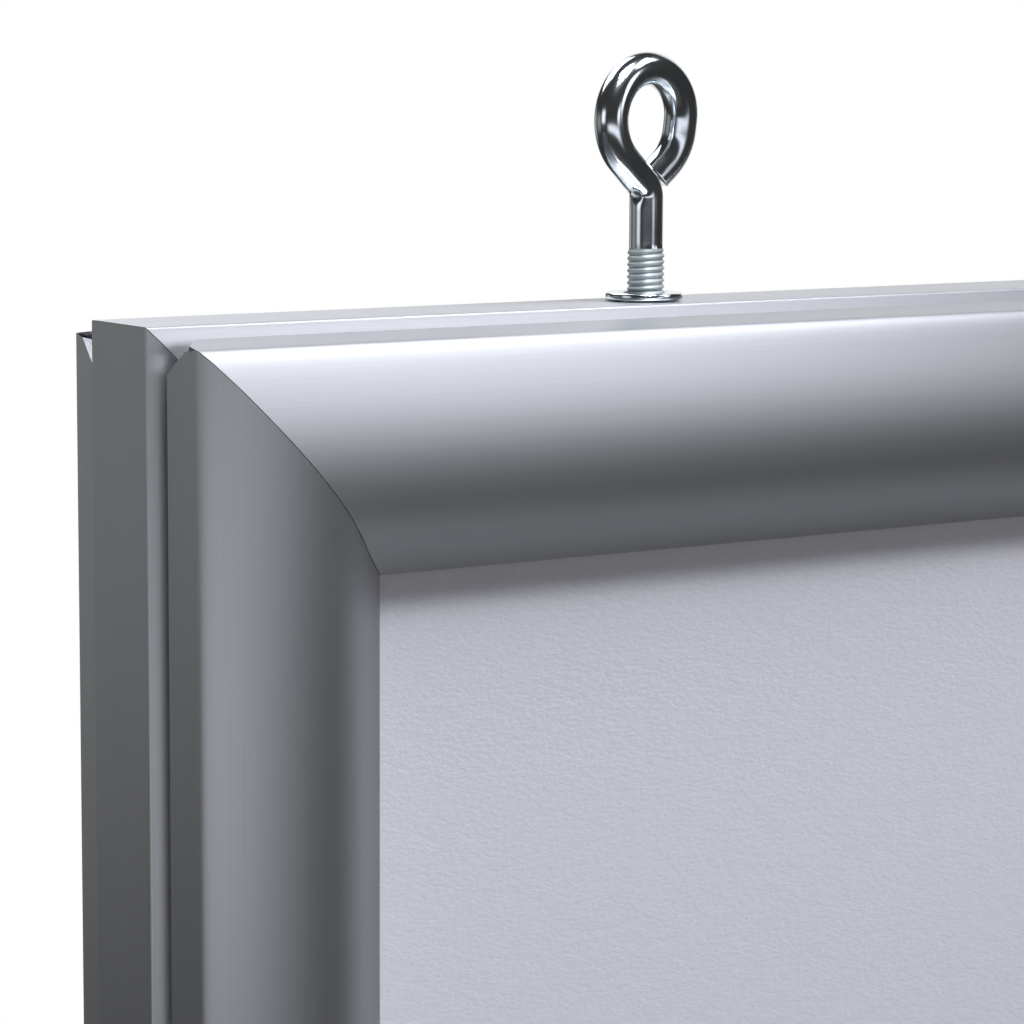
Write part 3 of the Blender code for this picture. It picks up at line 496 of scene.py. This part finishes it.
def extrusion(name, loops, end_at):
    """A member from its section's loops, with end_at giving each section point's distance from the middle to
    the member's end."""
    shape = bmesh.new()
    uv = shape.loops.layers.uv.new("section")
    caps = {-1: [], 1: []}
    for loop in loops:
        rings = {end: [shape.verts.new((x, y, end * end_at(x, y))) for x, y in loop] for end in caps}
        count = len(loop)
        travelled = 0.0
        for i in range(count):
            j = (i + 1) % count
            length = math.dist(loop[i], loop[j])
            corners = (rings[-1][i], rings[-1][j], rings[1][j], rings[1][i])
            face = shape.faces.new(corners)
            after = travelled + length
            for corner, along in zip(face.loops, (travelled, after, after, travelled)):
                corner[uv].uv = (along, corner.vert.co.z)
            travelled = after
        for end, ring in rings.items():
            caps[end] += [shape.edges.get((ring[i], ring[(i + 1) % count])) for i in range(count)]
    for edges in caps.values():
        filled = bmesh.ops.triangle_fill(shape, use_beauty=True, use_dissolve=False, edges=edges)
        for face in filled["geom"]:
            if isinstance(face, bmesh.types.BMFace):
                for corner in face.loops:
                    corner[uv].uv = (corner.vert.co.x, corner.vert.co.y)
    bmesh.ops.recalc_face_normals(shape, faces=shape.faces)
    mesh = bpy.data.meshes.new(name)
    shape.to_mesh(mesh)
    shape.free()
    mesh.shade_smooth()
    mesh.set_sharp_from_angle(angle=math.radians(SHARP_DEG))
    return mesh


def even_normals(piece):
    """Keeps flat faces flat beside their rounded corners."""
    weighted = piece.modifiers.new("even_normals", "WEIGHTED_NORMAL")
    weighted.keep_sharp = True
    weighted.weight = FLAT_WEIGHT


def side_matrix(side, face, inset=0.0, level=0.0):
    """Places a section: its x runs inward, its y towards the face, and its z along the side."""
    inward, _, across = SIDES[side]
    outward = FACES[face]
    along = inward.cross(outward)
    origin = Vector((0, 0, FRAME_CENTRE)) - inward * (across / 2 - inset) + outward * level
    rotation = Matrix((inward, outward, along)).transposed().to_4x4()
    return Matrix.Translation(origin) @ rotation


def cylinder_at(radius, depth, matrix):
    shape = bmesh.new()
    bmesh.ops.create_cone(shape, cap_ends=True, segments=HOLE_AROUND, radius1=radius, radius2=radius,
                          depth=depth, matrix=matrix)
    return shape


def box_at(size, matrix):
    shape = bmesh.new()
    bmesh.ops.create_cube(shape, size=1, matrix=matrix @ Matrix.Diagonal((*size, 1)))
    return shape


def holes_cut(mesh, cutters):
    """A copy of the mesh with the cutters' shapes taken out of it."""
    together = bmesh.new()
    for cutter in cutters:
        part = bpy.data.meshes.new("cutter_part")
        cutter.to_mesh(part)
        cutter.free()
        together.from_mesh(part)
        bpy.data.meshes.remove(part)
    tool_mesh = bpy.data.meshes.new("cutter")
    together.to_mesh(tool_mesh)
    together.free()
    tool = bpy.data.objects.new("cutter", tool_mesh)
    target = bpy.data.objects.new("target", mesh)
    for made in (tool, target):
        bpy.context.scene.collection.objects.link(made)
    cut = target.modifiers.new("holes", "BOOLEAN")
    cut.operation = "DIFFERENCE"
    cut.object = tool
    cut.solver = "EXACT"
    result = bpy.data.meshes.new_from_object(target.evaluated_get(bpy.context.evaluated_depsgraph_get()))
    result.name = mesh.name
    for made in (tool, target):
        bpy.data.objects.remove(made)
    result.shade_smooth()
    result.set_sharp_from_angle(angle=math.radians(SHARP_DEG))
    return result


# Base members

def shoulder_points():
    """The shallow curve from the outer edge to the foot of the hinge's web."""
    start = (EDGE_RADIUS, HALF_DEPTH)
    rise = FRONT_LEVEL - HALF_DEPTH
    width = SHOULDER_WIDTH - start[0]
    curve = [(start[0] + width * across, start[1] + rise * up) for across, up in SHOULDER_SHARES]
    return smooth_through([start, *curve, (SHOULDER_WIDTH, FRONT_LEVEL)], SHOULDER_STEPS)


def base_loops():
    hinge = (HINGE_INSET, HINGE_LEVEL)
    web_radius = WEB_END - HINGE_INSET
    rib_start, rib_end, rib_top = SHEET_RIB
    front = [
        *arc((EDGE_RADIUS, HALF_DEPTH - EDGE_RADIUS), EDGE_RADIUS, 180, 90)[:-1],
        *shoulder_points(),
        (WEB_INSET, FRONT_LEVEL),
        (WEB_INSET, HALF_DEPTH + SOCKET_LIP_RISE),
        on_circle(hinge, SOCKET_OUTER_RADIUS, SOCKET_START_DEG),
        *arc(hinge, SOCKET_INNER_RADIUS, SOCKET_START_DEG, SOCKET_END_DEG),
        *arc(hinge, SOCKET_OUTER_RADIUS, SOCKET_END_DEG, 90),
        *arc(hinge, web_radius, SOCKET_SHOULDER_DEG, 0),
        (WEB_END, FRONT_LEVEL),
        (LED_WALL_END, FRONT_LEVEL),
        (LED_WALL_END, LIP_OUTER),
        (rib_start, LIP_OUTER),
        (rib_start, rib_top),
        (rib_end, rib_top),
        (rib_end, LIP_OUTER),
        (LIP_REACH, LIP_OUTER),
        (LIP_REACH, LIP_INNER),
        (LED_WALL_END, LIP_INNER),
    ]
    outer = front + [(u, -w) for u, w in reversed(front)]
    low, high = OUTER_WALL + CHAMBER_FILLET, CHAMBER_END - CHAMBER_FILLET
    half = CHAMBER_HALF_DEPTH - CHAMBER_FILLET
    chamber = [
        *arc((low, -half), CHAMBER_FILLET, 180, 270),
        *arc((high, -half), CHAMBER_FILLET, 270, 360),
        *arc((high, half), CHAMBER_FILLET, 0, 90),
        *arc((low, half), CHAMBER_FILLET, 90, 180),
    ]
    return [rounded_corners(outer, CORNER_RADIUS), chamber]


def screw_cutters(length):
    wall = FRONT_LEVEL - CHAMBER_HALF_DEPTH
    turn = Matrix.Rotation(math.radians(90), 4, "X")
    along = length / 2 - SCREW_FROM_CORNER
    for end in (-1, 1):
        place = Vector((SCREW_HOLE_INSET, CHAMBER_HALF_DEPTH + wall / 2, end * along))
        yield cylinder_at(SCREW_HOLE_RADIUS, wall + 2 * PIECE_GAP, Matrix.Translation(place) @ turn)


def top_cutters():
    """The holes in the top member for the eye bolts, the supply socket and its leads."""
    to_section = side_matrix("top", "front").inverted()
    through = 2 * (OUTER_WALL + PIECE_GAP)
    bolt_room = EYE_THREAD_RADIUS + EYE_OFFSET
    for node, radius in (("eye_washer_left", bolt_room), ("eye_washer_right", bolt_room),
                         ("supply_socket", INLET_BARREL_RADIUS)):
        low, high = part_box(node)
        place = Matrix.Translation(((low.x + high.x) / 2, 0, TOP_FACE))
        yield cylinder_at(radius + PIECE_GAP, through, to_section @ place)
    place = Matrix.Translation(((low.x + high.x) / 2, 0, TOP_FACE - (CHAMBER_END + LED_WALL_END) / 2))
    yield box_at((*LEAD_HOLE, 2 * (LED_WALL_END - CHAMBER_END)), to_section @ place)


def build_bases():
    loops = base_loops()
    for side, (_, length, _) in SIDES.items():
        mesh = extrusion(f"base_{side}_section", loops, lambda x, y: length / 2 - x - MITRE_GAP)
        cutters = [*screw_cutters(length), *(top_cutters() if side == "top" else ())]
        mesh = holes_cut(mesh, cutters)
        piece = add_piece(f"base_{side}_extrusion", mesh, ALUMINIUM, "root",
                          side_matrix(side, "front"), f"base_{side}")
        even_normals(piece)


# Snap rails

def flange_inset(rise):
    slope = (FLANGE_FRONT[0] - FLANGE_REAR[0]) / (FLANGE_FRONT[1] - FLANGE_REAR[1])
    return FLANGE_REAR[0] + slope * (rise - FLANGE_REAR[1])


def height_on(line, inset):
    for (left, low), (right, high) in zip(line, line[1:]):
        if left <= inset <= right:
            return low + (high - low) * (inset - left) / (right - left)
    raise ValueError("the rail's skin doesn't reach this far")


def rail_loop():
    face = RAIL_REACH - FLANGE_FRONT[0]
    controls = [(FLANGE_FRONT[0] + face * across, CROWN_RISE * up) for across, up in CROWN_CONTROL_SHARES]
    outer = bezier(controls, CROWN_STEPS)
    skin = []
    for before, here, after in zip(outer, outer[1:], outer[2:]):
        run, climb = after[0] - before[0], after[1] - before[1]
        size = math.hypot(run, climb)
        skin.append((here[0] + RAIL_WALL * climb / size, here[1] - RAIL_WALL * run / size))
    first = FLANGE_FRONT[0] + 2 * RAIL_WALL
    skin = [p for p in skin if first < p[0] < RAIL_REACH - FOOT_LENGTH and p[1] > FOOT_RISE]
    ribs = []
    for inset, depth in SEAT_RIBS:
        end = inset + SEAT_RIB_WALL
        tip = height_on(skin, inset) - depth
        ribs.append([(inset, height_on(skin, inset)), (inset, tip), (end, tip), (end, height_on(skin, end))])
    (stop, _), (seat, _) = SEAT_RIBS
    underside = [
        *[p for p in skin if p[0] < stop],
        *ribs[0],
        *[p for p in skin if stop + SEAT_RIB_WALL < p[0] < seat],
        *ribs[1],
        *[p for p in skin if p[0] > seat + SEAT_RIB_WALL],
    ]
    neck_deg = math.degrees(math.asin(BEAD_NECK / 2 / BEAD_RADIUS))
    neck_top, neck_bottom = HINGE_RISE + BEAD_NECK / 2, HINGE_RISE - BEAD_NECK / 2
    rear_centre = (FLANGE_REAR[0] + FLANGE_EDGE_RADIUS, FLANGE_REAR[1] + FLANGE_EDGE_RADIUS)
    crease = HINGE_INSET + HINGE_RISE
    slope = (FLANGE_FRONT[0] - FLANGE_REAR[0]) / (FLANGE_FRONT[1] - FLANGE_REAR[1])
    crease_outer = (crease - FLANGE_REAR[0] + slope * FLANGE_REAR[1]) / (1 + slope)
    crease_inner = (crease - RAIL_WALL - FLANGE_REAR[0] + slope * FLANGE_REAR[1]) / (1 + slope)
    rises = [
        *arc(rear_centre, FLANGE_EDGE_RADIUS, 270, 180),
        (flange_inset(crease_outer), crease_outer),
        *outer,
        (RAIL_REACH, FOOT_RISE),
        (RAIL_REACH - FOOT_LENGTH, FOOT_RISE),
        *reversed(underside),
        (flange_inset(FLANGE_FRONT[1]) + RAIL_WALL, FLANGE_FRONT[1]),
        (flange_inset(crease_inner) + RAIL_WALL, crease_inner),
        (flange_inset(neck_top) + RAIL_WALL, neck_top),
        *arc((HINGE_INSET, HINGE_RISE), BEAD_RADIUS, 180 - neck_deg, neck_deg - 180),
        (flange_inset(neck_bottom) + RAIL_WALL, neck_bottom),
        (FLANGE_REAR[0] + RAIL_WALL, FLANGE_REAR[1]),
    ]
    return rounded_corners([(u - HINGE_INSET, rise - HINGE_RISE) for u, rise in rises], CORNER_RADIUS)


def build_rails():
    """Each rail's end clears the next rail both shut and open, so it takes the deeper of two cuts."""
    loop = rail_loop()
    for side, (_, length, _) in SIDES.items():
        def end_at(x, y):
            cuts = [x, -y]
            if math.hypot(x, y) < BEAD_ZONE:
                cuts.append(BEAD_RADIUS)
            elif x < FLANGE_END_REACH - HINGE_INSET:
                below_crown = FLANGE_FRONT[1] - HINGE_RISE - y
                cuts.append(FLANGE_FRONT[0] - HINGE_INSET + FLANGE_END_SLOPE * below_crown)
            return length / 2 - HINGE_INSET - MITRE_GAP - max(cuts)

        mesh = extrusion(f"rail_{side}_section", [loop], end_at)
        for face in FACES:
            node = f"{face}_rail_{side}"
            own = mesh if face == "front" else mesh.copy()
            own.materials.clear()
            piece = add_piece(f"{node}_extrusion", own, ALUMINIUM, RAIL_BODIES[face, side],
                              side_matrix(side, face, HINGE_INSET, HINGE_LEVEL), node)
            even_normals(piece)


# Eye bolts and washers

def eye_path():
    """The rod's middle line from the top of its thread to its cut end, in short steps."""
    centre = (0, EYE_CENTRE_HEIGHT)
    flank_centre = (EYE_FLANK_RADIUS - EYE_LOOP_RADIUS, EYE_CENTRE_HEIGHT)
    low_centre = (0, EYE_CENTRE_HEIGHT - EYE_STRAIGHT)
    shares = [i / EYE_STEPS for i in range(1, EYE_STEPS)]
    loop = arc(flank_centre, EYE_FLANK_RADIUS, EYE_FLANK_END_DEG, 180, EYE_BEND_STEP_DEG)[:-1]
    loop += arc(centre, EYE_LOOP_RADIUS, 180, 0, EYE_LOOP_STEP_DEG)
    loop += [(EYE_LOOP_RADIUS, EYE_CENTRE_HEIGHT - EYE_STRAIGHT * share) for share in shares]
    loop += arc(low_centre, EYE_LOOP_RADIUS, 0, EYE_LOOP_END_DEG, EYE_LOOP_STEP_DEG)
    slant_deg = EYE_FLANK_END_DEG - 180
    slant = math.radians(slant_deg)
    corner = loop[0][1] + loop[0][0] / math.tan(slant)
    bend_start = corner - EYE_BEND_RADIUS * math.tan(slant / 2)
    bend = arc((-EYE_BEND_RADIUS, bend_start), EYE_BEND_RADIUS, 0, slant_deg, EYE_BEND_STEP_DEG)
    neck = [(0, EYE_THREAD_TOP + (bend_start - EYE_THREAD_TOP) * share) for share in shares]
    flank = [tuple(Vector(bend[-1]).lerp(Vector(loop[0]), share)) for share in shares]
    end = math.radians(EYE_LOOP_END_DEG)
    tail = [(loop[-1][0] + EYE_TAIL_LENGTH * share * math.sin(end),
             loop[-1][1] - EYE_TAIL_LENGTH * share * math.cos(end)) for share in (*shares, 1)]
    flat = [*neck, *bend, *flank, *loop, *tail]
    span = math.radians(EYE_BACK_START_DEG - EYE_LOOP_END_DEG) * EYE_LOOP_RADIUS
    span += EYE_STRAIGHT + EYE_TAIL_LENGTH
    places = []
    left_to_go = sum(math.dist(a, b) for a, b in zip(flat, flat[1:]))
    for before, (x, z) in zip([flat[0], *flat], flat):
        left_to_go -= math.dist(before, (x, z))
        share = max(0, 1 - left_to_go / span)
        places.append(Vector((x, EYE_TAIL_BACK * share**2, z)))
    return places


def thread_radius(turn_share, height):
    """The thread's radius at a height, for a direction given as a share of a full turn."""
    phase = (height / EYE_THREAD_PITCH - turn_share) % 1.0
    ridge = min(1.0, max(0.0, EYE_RIDGE_SLOPE * (1 - abs(2 * phase - 1)) - EYE_RIDGE_DROP))
    fade = min(1.0, max(0.0, (EYE_THREAD_TOP - height) / EYE_THREAD_PITCH))
    root = EYE_THREAD_RADIUS - EYE_THREAD_DEPTH
    crest = root + EYE_THREAD_DEPTH * ridge
    return EYE_ROD_RADIUS + (crest - EYE_ROD_RADIUS) * fade


def pinch(vertex):
    """The mark that the bending tool left inside the bend: a dent, with a small burr over it."""
    for place, depth in ((PINCH_PLACE, PINCH_DEPTH), (BURR_PLACE, -BURR_RISE)):
        near = math.exp(-((vertex.co - place).length / PINCH_REACH) ** 2)
        vertex.co.x += depth * near


def eye_bolt_mesh():
    shape = bmesh.new()
    rings = []
    turns = [2 * math.pi * k / EYE_AROUND for k in range(EYE_AROUND)]
    height = EYE_THREAD_END
    while height < EYE_THREAD_TOP:
        ring = []
        for turn in turns:
            radius = thread_radius(turn / (2 * math.pi), height)
            ring.append(shape.verts.new((radius * math.cos(turn), radius * math.sin(turn), height)))
        rings.append(ring)
        height += EYE_THREAD_PITCH / EYE_THREAD_RINGS
    path = eye_path()
    back = Vector((0, 1, 0))
    for i, here in enumerate(path):
        along = (path[min(i + 1, len(path) - 1)] - path[max(i - 1, 0)]).normalized()
        back = (back - along * back.dot(along)).normalized()
        side = back.cross(along)
        reaches = [side * math.cos(turn) + back * math.sin(turn) for turn in turns]
        rings.append([shape.verts.new(here + reach * EYE_ROD_RADIUS) for reach in reaches])
    end_along = (path[-1] - path[-2]).normalized()
    rim = [shape.verts.new(v.co + (path[-1] - v.co).normalized() * EYE_CUT_CHAMFER
                           + end_along * EYE_CUT_CHAMFER * EYE_CUT_SLOPE) for v in rings[-1]]
    rings.append(rim)
    for vertex in shape.verts:
        pinch(vertex)
    for low, high in zip(rings, rings[1:]):
        for k in range(EYE_AROUND):
            m = (k + 1) % EYE_AROUND
            shape.faces.new((low[k], low[m], high[m], high[k]))
    shape.faces.new(rings[0][::-1])
    shape.faces.new(rings[-1])
    bmesh.ops.recalc_face_normals(shape, faces=shape.faces)
    mesh = bpy.data.meshes.new("eye_bolt_body")
    shape.to_mesh(mesh)
    shape.free()
    mesh.shade_smooth()
    mesh.set_sharp_from_angle(angle=math.radians(EYE_SHARP_DEG))
    for face in mesh.polygons:
        face.material_index = 1 if face.center.z < EYE_THREAD_TOP else 0
    return mesh


def turned_mesh(name, profile, around=TURNED_AROUND):
    """A closed ring turned round Z from (radius, height) pairs."""
    shape = bmesh.new()
    rings = []
    for k in range(around):
        turn = 2 * math.pi * k / around
        rings.append([shape.verts.new((r * math.cos(turn), r * math.sin(turn), h)) for r, h in profile])
    for k in range(around):
        here, after = rings[k], rings[(k + 1) % around]
        for i in range(len(profile)):
            j = (i + 1) % len(profile)
            shape.faces.new((here[i], after[i], after[j], here[j]))
    bmesh.ops.recalc_face_normals(shape, faces=shape.faces)
    mesh = bpy.data.meshes.new(name)
    shape.to_mesh(mesh)
    shape.free()
    mesh.shade_smooth()
    mesh.set_sharp_from_angle(angle=math.radians(TURNED_SHARP_DEG))
    return mesh


def washer_mesh():
    outline = [(WASHER_BORE, 0), (WASHER_RADIUS, 0), (WASHER_RADIUS, WASHER_THICKNESS),
               (WASHER_BORE, WASHER_THICKNESS)]
    return turned_mesh("washer_ring", rounded_corners(outline, WASHER_EDGE))


def build_eye_bolts():
    for word in ("left", "right"):
        low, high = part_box(f"eye_washer_{word}")
        x = (low.x + high.x) / 2
        turn = Matrix.Rotation(math.radians(EYE_TURN_DEG), 4, "Z")
        bolt = add_piece(f"eye_bolt_{word}_rod", eye_bolt_mesh(), ZINC, "root",
                         Matrix.Translation((x + EYE_OFFSET, 0, TOP_FACE)) @ turn, f"eye_bolt_{word}")
        bolt.data.materials.append(THREAD_ZINC)
        add_piece(f"eye_washer_{word}_ring", washer_mesh(), ZINC, "root",
                  Matrix.Translation((x, 0, low.z)), f"eye_washer_{word}")


# Supply socket

def build_supply_socket():
    edge, top = INLET_EDGE, INLET_FLANGE_THICKNESS
    floor = top - INLET_BORE_DEPTH
    body = [
        (AXIS_RADIUS, floor),
        (INLET_BORE_RADIUS, floor),
        *arc((INLET_BORE_RADIUS + edge, top - edge), edge, 180, 90, INLET_STEP_DEG),
        *arc((INLET_FLANGE_RADIUS - edge, top - edge), edge, 90, 0, INLET_STEP_DEG),
        (INLET_FLANGE_RADIUS, 0),
        (INLET_BARREL_RADIUS, 0),
        (INLET_BARREL_RADIUS, -INLET_BARREL_LENGTH),
        (AXIS_RADIUS, -INLET_BARREL_LENGTH),
    ]
    pin_top = top - INLET_PIN_ROUND
    round_centre = (INLET_PIN_RADIUS - INLET_PIN_ROUND, pin_top - INLET_PIN_ROUND)
    pin = [
        (AXIS_RADIUS, floor),
        (INLET_PIN_RADIUS, floor),
        *arc(round_centre, INLET_PIN_ROUND, 0, 90, INLET_STEP_DEG),
        (AXIS_RADIUS, pin_top),
    ]
    low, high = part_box("supply_socket")
    place = Matrix.Translation(((low.x + high.x) / 2, (low.y + high.y) / 2, high.z - top))
    add_piece("supply_socket_body", turned_mesh("socket_body", body), BLACK_PLASTIC, "root",
              place, "supply_socket")
    add_piece("supply_socket_pin", turned_mesh("socket_pin", pin, INLET_PIN_AROUND), ZINC, "root",
              place)


# Springs, screws, keys and leads are the CAD shapes with their round faces shaded smooth

def build_smoothed():
    for name in sorted(NODES):
        if not name.startswith(("spring_", "key_screw", "corner_key", "supply_lead")):
            continue
        mesh = NODES[name].data.copy()
        mesh.materials.clear()
        shape = bmesh.new()
        shape.from_mesh(mesh)
        bmesh.ops.remove_doubles(shape, verts=shape.verts, dist=MERGE_DISTANCE)
        shape.to_mesh(mesh)
        shape.free()
        mesh.shade_smooth()
        mesh.set_sharp_from_angle(angle=math.radians(SHARP_DEG))
        add_piece(f"{name}_smooth", mesh, finish_for(name), NODES[name]["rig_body"],
                  replaces=name)


# Slots and finishes of the CAD pieces


def finish_for(node):
    if node.startswith("spring_"):
        return SPRING_STEEL
    if node.startswith("key_screw"):
        return BLACK_STEEL
    if node.startswith("corner_key"):
        return CAST_ALUMINIUM
    if node.endswith("_cover"):
        return COVER
    if node.endswith("_poster"):
        return PAPER
    if node.endswith("_diffuser"):
        return OPAL_ACRYLIC
    if node.startswith("led_strip"):
        return LIGHT_STRIP
    if node == "light_guide":
        return GUIDE_ACRYLIC
    if node.startswith(("supply_socket", "supply_lead")):
        return BLACK_PLASTIC
    if node.startswith(("eye_", "supply_nut")):
        return ZINC
    return ALUMINIUM


def finish_cad_nodes():
    for name, node in NODES.items():
        node.data.materials.clear()
        node.data.materials.append(finish_for(name))


# Camera, lights and surroundings

CAMERA_PLACE = Vector((-0.4899, -0.4737, 0.0050))
CAMERA_YAW_DEG = 34.12
CAMERA_PITCH_DEG = 7.377
CAMERA_ROLL_DEG = 0.260
CAMERA_LENS = 125.9
CAMERA_SENSOR = 36
CAMERA_CLIP_START = 0.01

# Light: directions are a turn from straight ahead of the frame towards its left, and a rise, in degrees
COOL = (0.97, 0.98, 1.08)
NEUTRAL = (1.0, 1.0, 1.0)
LIT_CORNER = Vector((-0.15, 0, -0.15))
LAMPS = (
    # name, turn, rise, distance, size, power
    ("key_softbox", 12, 60, 1.5, (0.6, 0.14), 17),
    ("top_softbox", 8, 70, 1.5, (0.7, 0.7), 15),
    ("rail_softbox", -57, 54, 1.5, (0.7, 0.5), 6.5),
    ("back_softbox", 172, 50, 2.0, (1.6, 1.2), 18),
)
ROOM_BRIGHTNESS = 0.04
FLOOR_DROP = 1.5
FLOOR_RADIUS = 0.8
FLOOR_WHITE = 0.85
FLOOR_AROUND = 96
# A patch of light's rise from, to and softness, then its turn from, to and softness, in degrees
BACKDROP = (-30, 32, 8, -166, -112, 9)
SKY_PATCHES = (
    # the same six, then brightness and tint
    (-90, -40, 8, -180, 180, 1, 0.05, NEUTRAL),
    (*BACKDROP, 1.00, NEUTRAL),
    (-16, -6, 2, -17, 58, 14, 1.20, COOL),
    (-2, 8, 3, -22, -6, 4, 1.60, COOL),
    (4, 23, 6, -42, -28, 4, 3.50, COOL),
    (-4, 14, 3, 78, 102, 6, 1.30, COOL),
    (-12, 6, 6, 112, 140, 8, 0.26, NEUTRAL),
    (-12, 6, 6, 140, 154, 8, 0.08, NEUTRAL),
    (-14, 6, 6, 158, 176, 3, 0.50, NEUTRAL),
)


def build_camera():
    yaw, pitch, roll = (math.radians(a) for a in (CAMERA_YAW_DEG, CAMERA_PITCH_DEG, CAMERA_ROLL_DEG))
    ahead = Vector((math.sin(yaw) * math.cos(pitch), math.cos(yaw) * math.cos(pitch), -math.sin(pitch)))
    level_right = Vector((math.cos(yaw), -math.sin(yaw), 0))
    level_up = level_right.cross(ahead)
    right = level_right * math.cos(roll) + level_up * math.sin(roll)
    up = level_up * math.cos(roll) - level_right * math.sin(roll)
    data = bpy.data.cameras.new("camera")
    data.lens = CAMERA_LENS
    data.sensor_width = CAMERA_SENSOR
    data.clip_start = CAMERA_CLIP_START
    camera = bpy.data.objects.new("camera", data)
    bpy.context.scene.collection.objects.link(camera)
    rotation = Matrix((right, up, -ahead)).transposed().to_4x4()
    camera.matrix_world = Matrix.Translation(CAMERA_PLACE) @ rotation
    bpy.context.scene.camera = camera


def build_lights():
    for name, turn_deg, rise_deg, distance, size, power in LAMPS:
        turn, rise = math.radians(turn_deg), math.radians(rise_deg)
        away = Vector((-math.sin(turn) * math.cos(rise), -math.cos(turn) * math.cos(rise), math.sin(rise)))
        data = bpy.data.lights.new(name, "AREA")
        data.shape = "RECTANGLE"
        data.size, data.size_y = size
        data.energy = power
        data.color = COOL
        light = bpy.data.objects.new(name, data)
        bpy.context.scene.collection.objects.link(light)
        light.location = LIT_CORNER + away * distance
        light.rotation_euler = (-away).to_track_quat("-Z", "Y").to_euler()


def build_floor():
    shape = bmesh.new()
    bmesh.ops.create_circle(shape, cap_ends=True, segments=FLOOR_AROUND, radius=FLOOR_RADIUS)
    mesh = bpy.data.meshes.new("floor")
    shape.to_mesh(mesh)
    shape.free()
    shader = Shader("pale_floor")
    path = shader.node("ShaderNodeLightPath").outputs
    mirrored = shader.node("ShaderNodeMath", {0: path["Is Glossy Ray"], 1: path["Is Transmission Ray"]},
                           operation="MAXIMUM")
    seen = shader.node("ShaderNodeMath", {0: path["Is Camera Ray"], 1: mirrored.outputs[0]},
                       operation="MAXIMUM")
    shader.set(Base_Color=(0.70, 0.70, 0.70, 1), Roughness=0.8, Emission_Color=(1, 1, 1, 1))
    shader.set(Emission_Strength=shader.spread(seen.outputs[0], 0.0, FLOOR_WHITE))
    mesh.materials.append(shader.material)
    floor = bpy.data.objects.new("floor", mesh)
    bpy.context.scene.collection.objects.link(floor)
    floor.location = (0, 0, OUTER_LOW.z - FLOOR_DROP)
    floor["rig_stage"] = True


class Sky:
    """The world's nodes: soft patches of light by direction."""

    def __init__(self, tree):
        self.tree = tree

    def math(self, operation, first, second=None):
        made = self.tree.nodes.new("ShaderNodeMath")
        made.operation = operation
        for socket, value in zip(made.inputs, (first, second)):
            if isinstance(value, bpy.types.NodeSocket):
                self.tree.links.new(value, socket)
            elif value is not None:
                socket.default_value = value
        return made.outputs[0]

    def edge(self, angle, start_deg, end_deg):
        """0 before the first angle and 1 past the second, smooth between."""
        made = self.tree.nodes.new("ShaderNodeMapRange")
        made.interpolation_type = "SMOOTHSTEP"
        self.tree.links.new(angle, made.inputs["Value"])
        made.inputs["From Min"].default_value = math.radians(start_deg)
        made.inputs["From Max"].default_value = math.radians(end_deg)
        return made.outputs["Result"]

    def window(self, angle, low_deg, high_deg, soft_deg):
        rising = self.edge(angle, low_deg - soft_deg, low_deg + soft_deg)
        falling = self.edge(angle, high_deg + soft_deg, high_deg - soft_deg)
        return self.math("MULTIPLY", rising, falling)

    def patch(self, rise, turn, low, high, rise_soft, start, end, turn_soft):
        return self.math("MULTIPLY", self.window(rise, low, high, rise_soft),
                         self.window(turn, start, end, turn_soft))


def build_world():
    """White behind the object, for the camera on every side and for gloss and glass where the backdrop
    stands, and a studio's soft lights elsewhere."""
    world = bpy.data.worlds.new("studio")
    bpy.context.scene.world = world
    world.use_nodes = True
    tree = world.node_tree
    sky = Sky(tree)
    place = tree.nodes.new("ShaderNodeTexCoord")
    parts = tree.nodes.new("ShaderNodeSeparateXYZ")
    tree.links.new(place.outputs["Generated"], parts.inputs[0])
    rise = sky.math("ARCSINE", parts.outputs["Z"])
    turn = sky.math("ARCTAN2", sky.math("MULTIPLY", parts.outputs["X"], -1.0),
                    sky.math("MULTIPLY", parts.outputs["Y"], -1.0))
    totals = {NEUTRAL: ROOM_BRIGHTNESS, COOL: 0.0}
    for *extent, brightness, tint in SKY_PATCHES:
        patch = sky.math("MULTIPLY", sky.patch(rise, turn, *extent), brightness)
        totals[tint] = sky.math("ADD", patch, totals[tint])
    shades = []
    for tint, total in totals.items():
        shade = tree.nodes.new("ShaderNodeBackground")
        shade.inputs["Color"].default_value = (*tint, 1)
        tree.links.new(total, shade.inputs["Strength"])
        shades.append(shade.outputs[0])
    room = tree.nodes.new("ShaderNodeAddShader")
    for socket, shade in zip(room.inputs, shades):
        tree.links.new(shade, socket)
    white = tree.nodes["Background"]
    white.inputs["Color"].default_value = (1, 1, 1, 1)
    path = tree.nodes.new("ShaderNodeLightPath")
    mirrored = sky.math("MAXIMUM", path.outputs["Is Glossy Ray"], path.outputs["Is Transmission Ray"])
    mirrored_white = sky.math("MULTIPLY", mirrored, sky.patch(rise, turn, *BACKDROP))
    white_share = sky.math("MAXIMUM", path.outputs["Is Camera Ray"], mirrored_white)
    seen = tree.nodes.new("ShaderNodeMixShader")
    tree.links.new(white_share, seen.inputs[0])
    tree.links.new(room.outputs[0], seen.inputs[1])
    tree.links.new(white.outputs[0], seen.inputs[2])
    tree.links.new(seen.outputs[0], tree.nodes["World Output"].inputs["Surface"])
    bpy.context.scene.view_settings.view_transform = "Standard"


def write_sizes():
    for low, high in (CAD_BOUNDS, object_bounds()):
        f"{[list(low), list(high)]}\n"


build_camera()
build_bases()
build_rails()
build_eye_bolts()
build_supply_socket()
build_smoothed()
finish_cad_nodes()
build_floor()
build_lights()
build_world()
write_sizes()
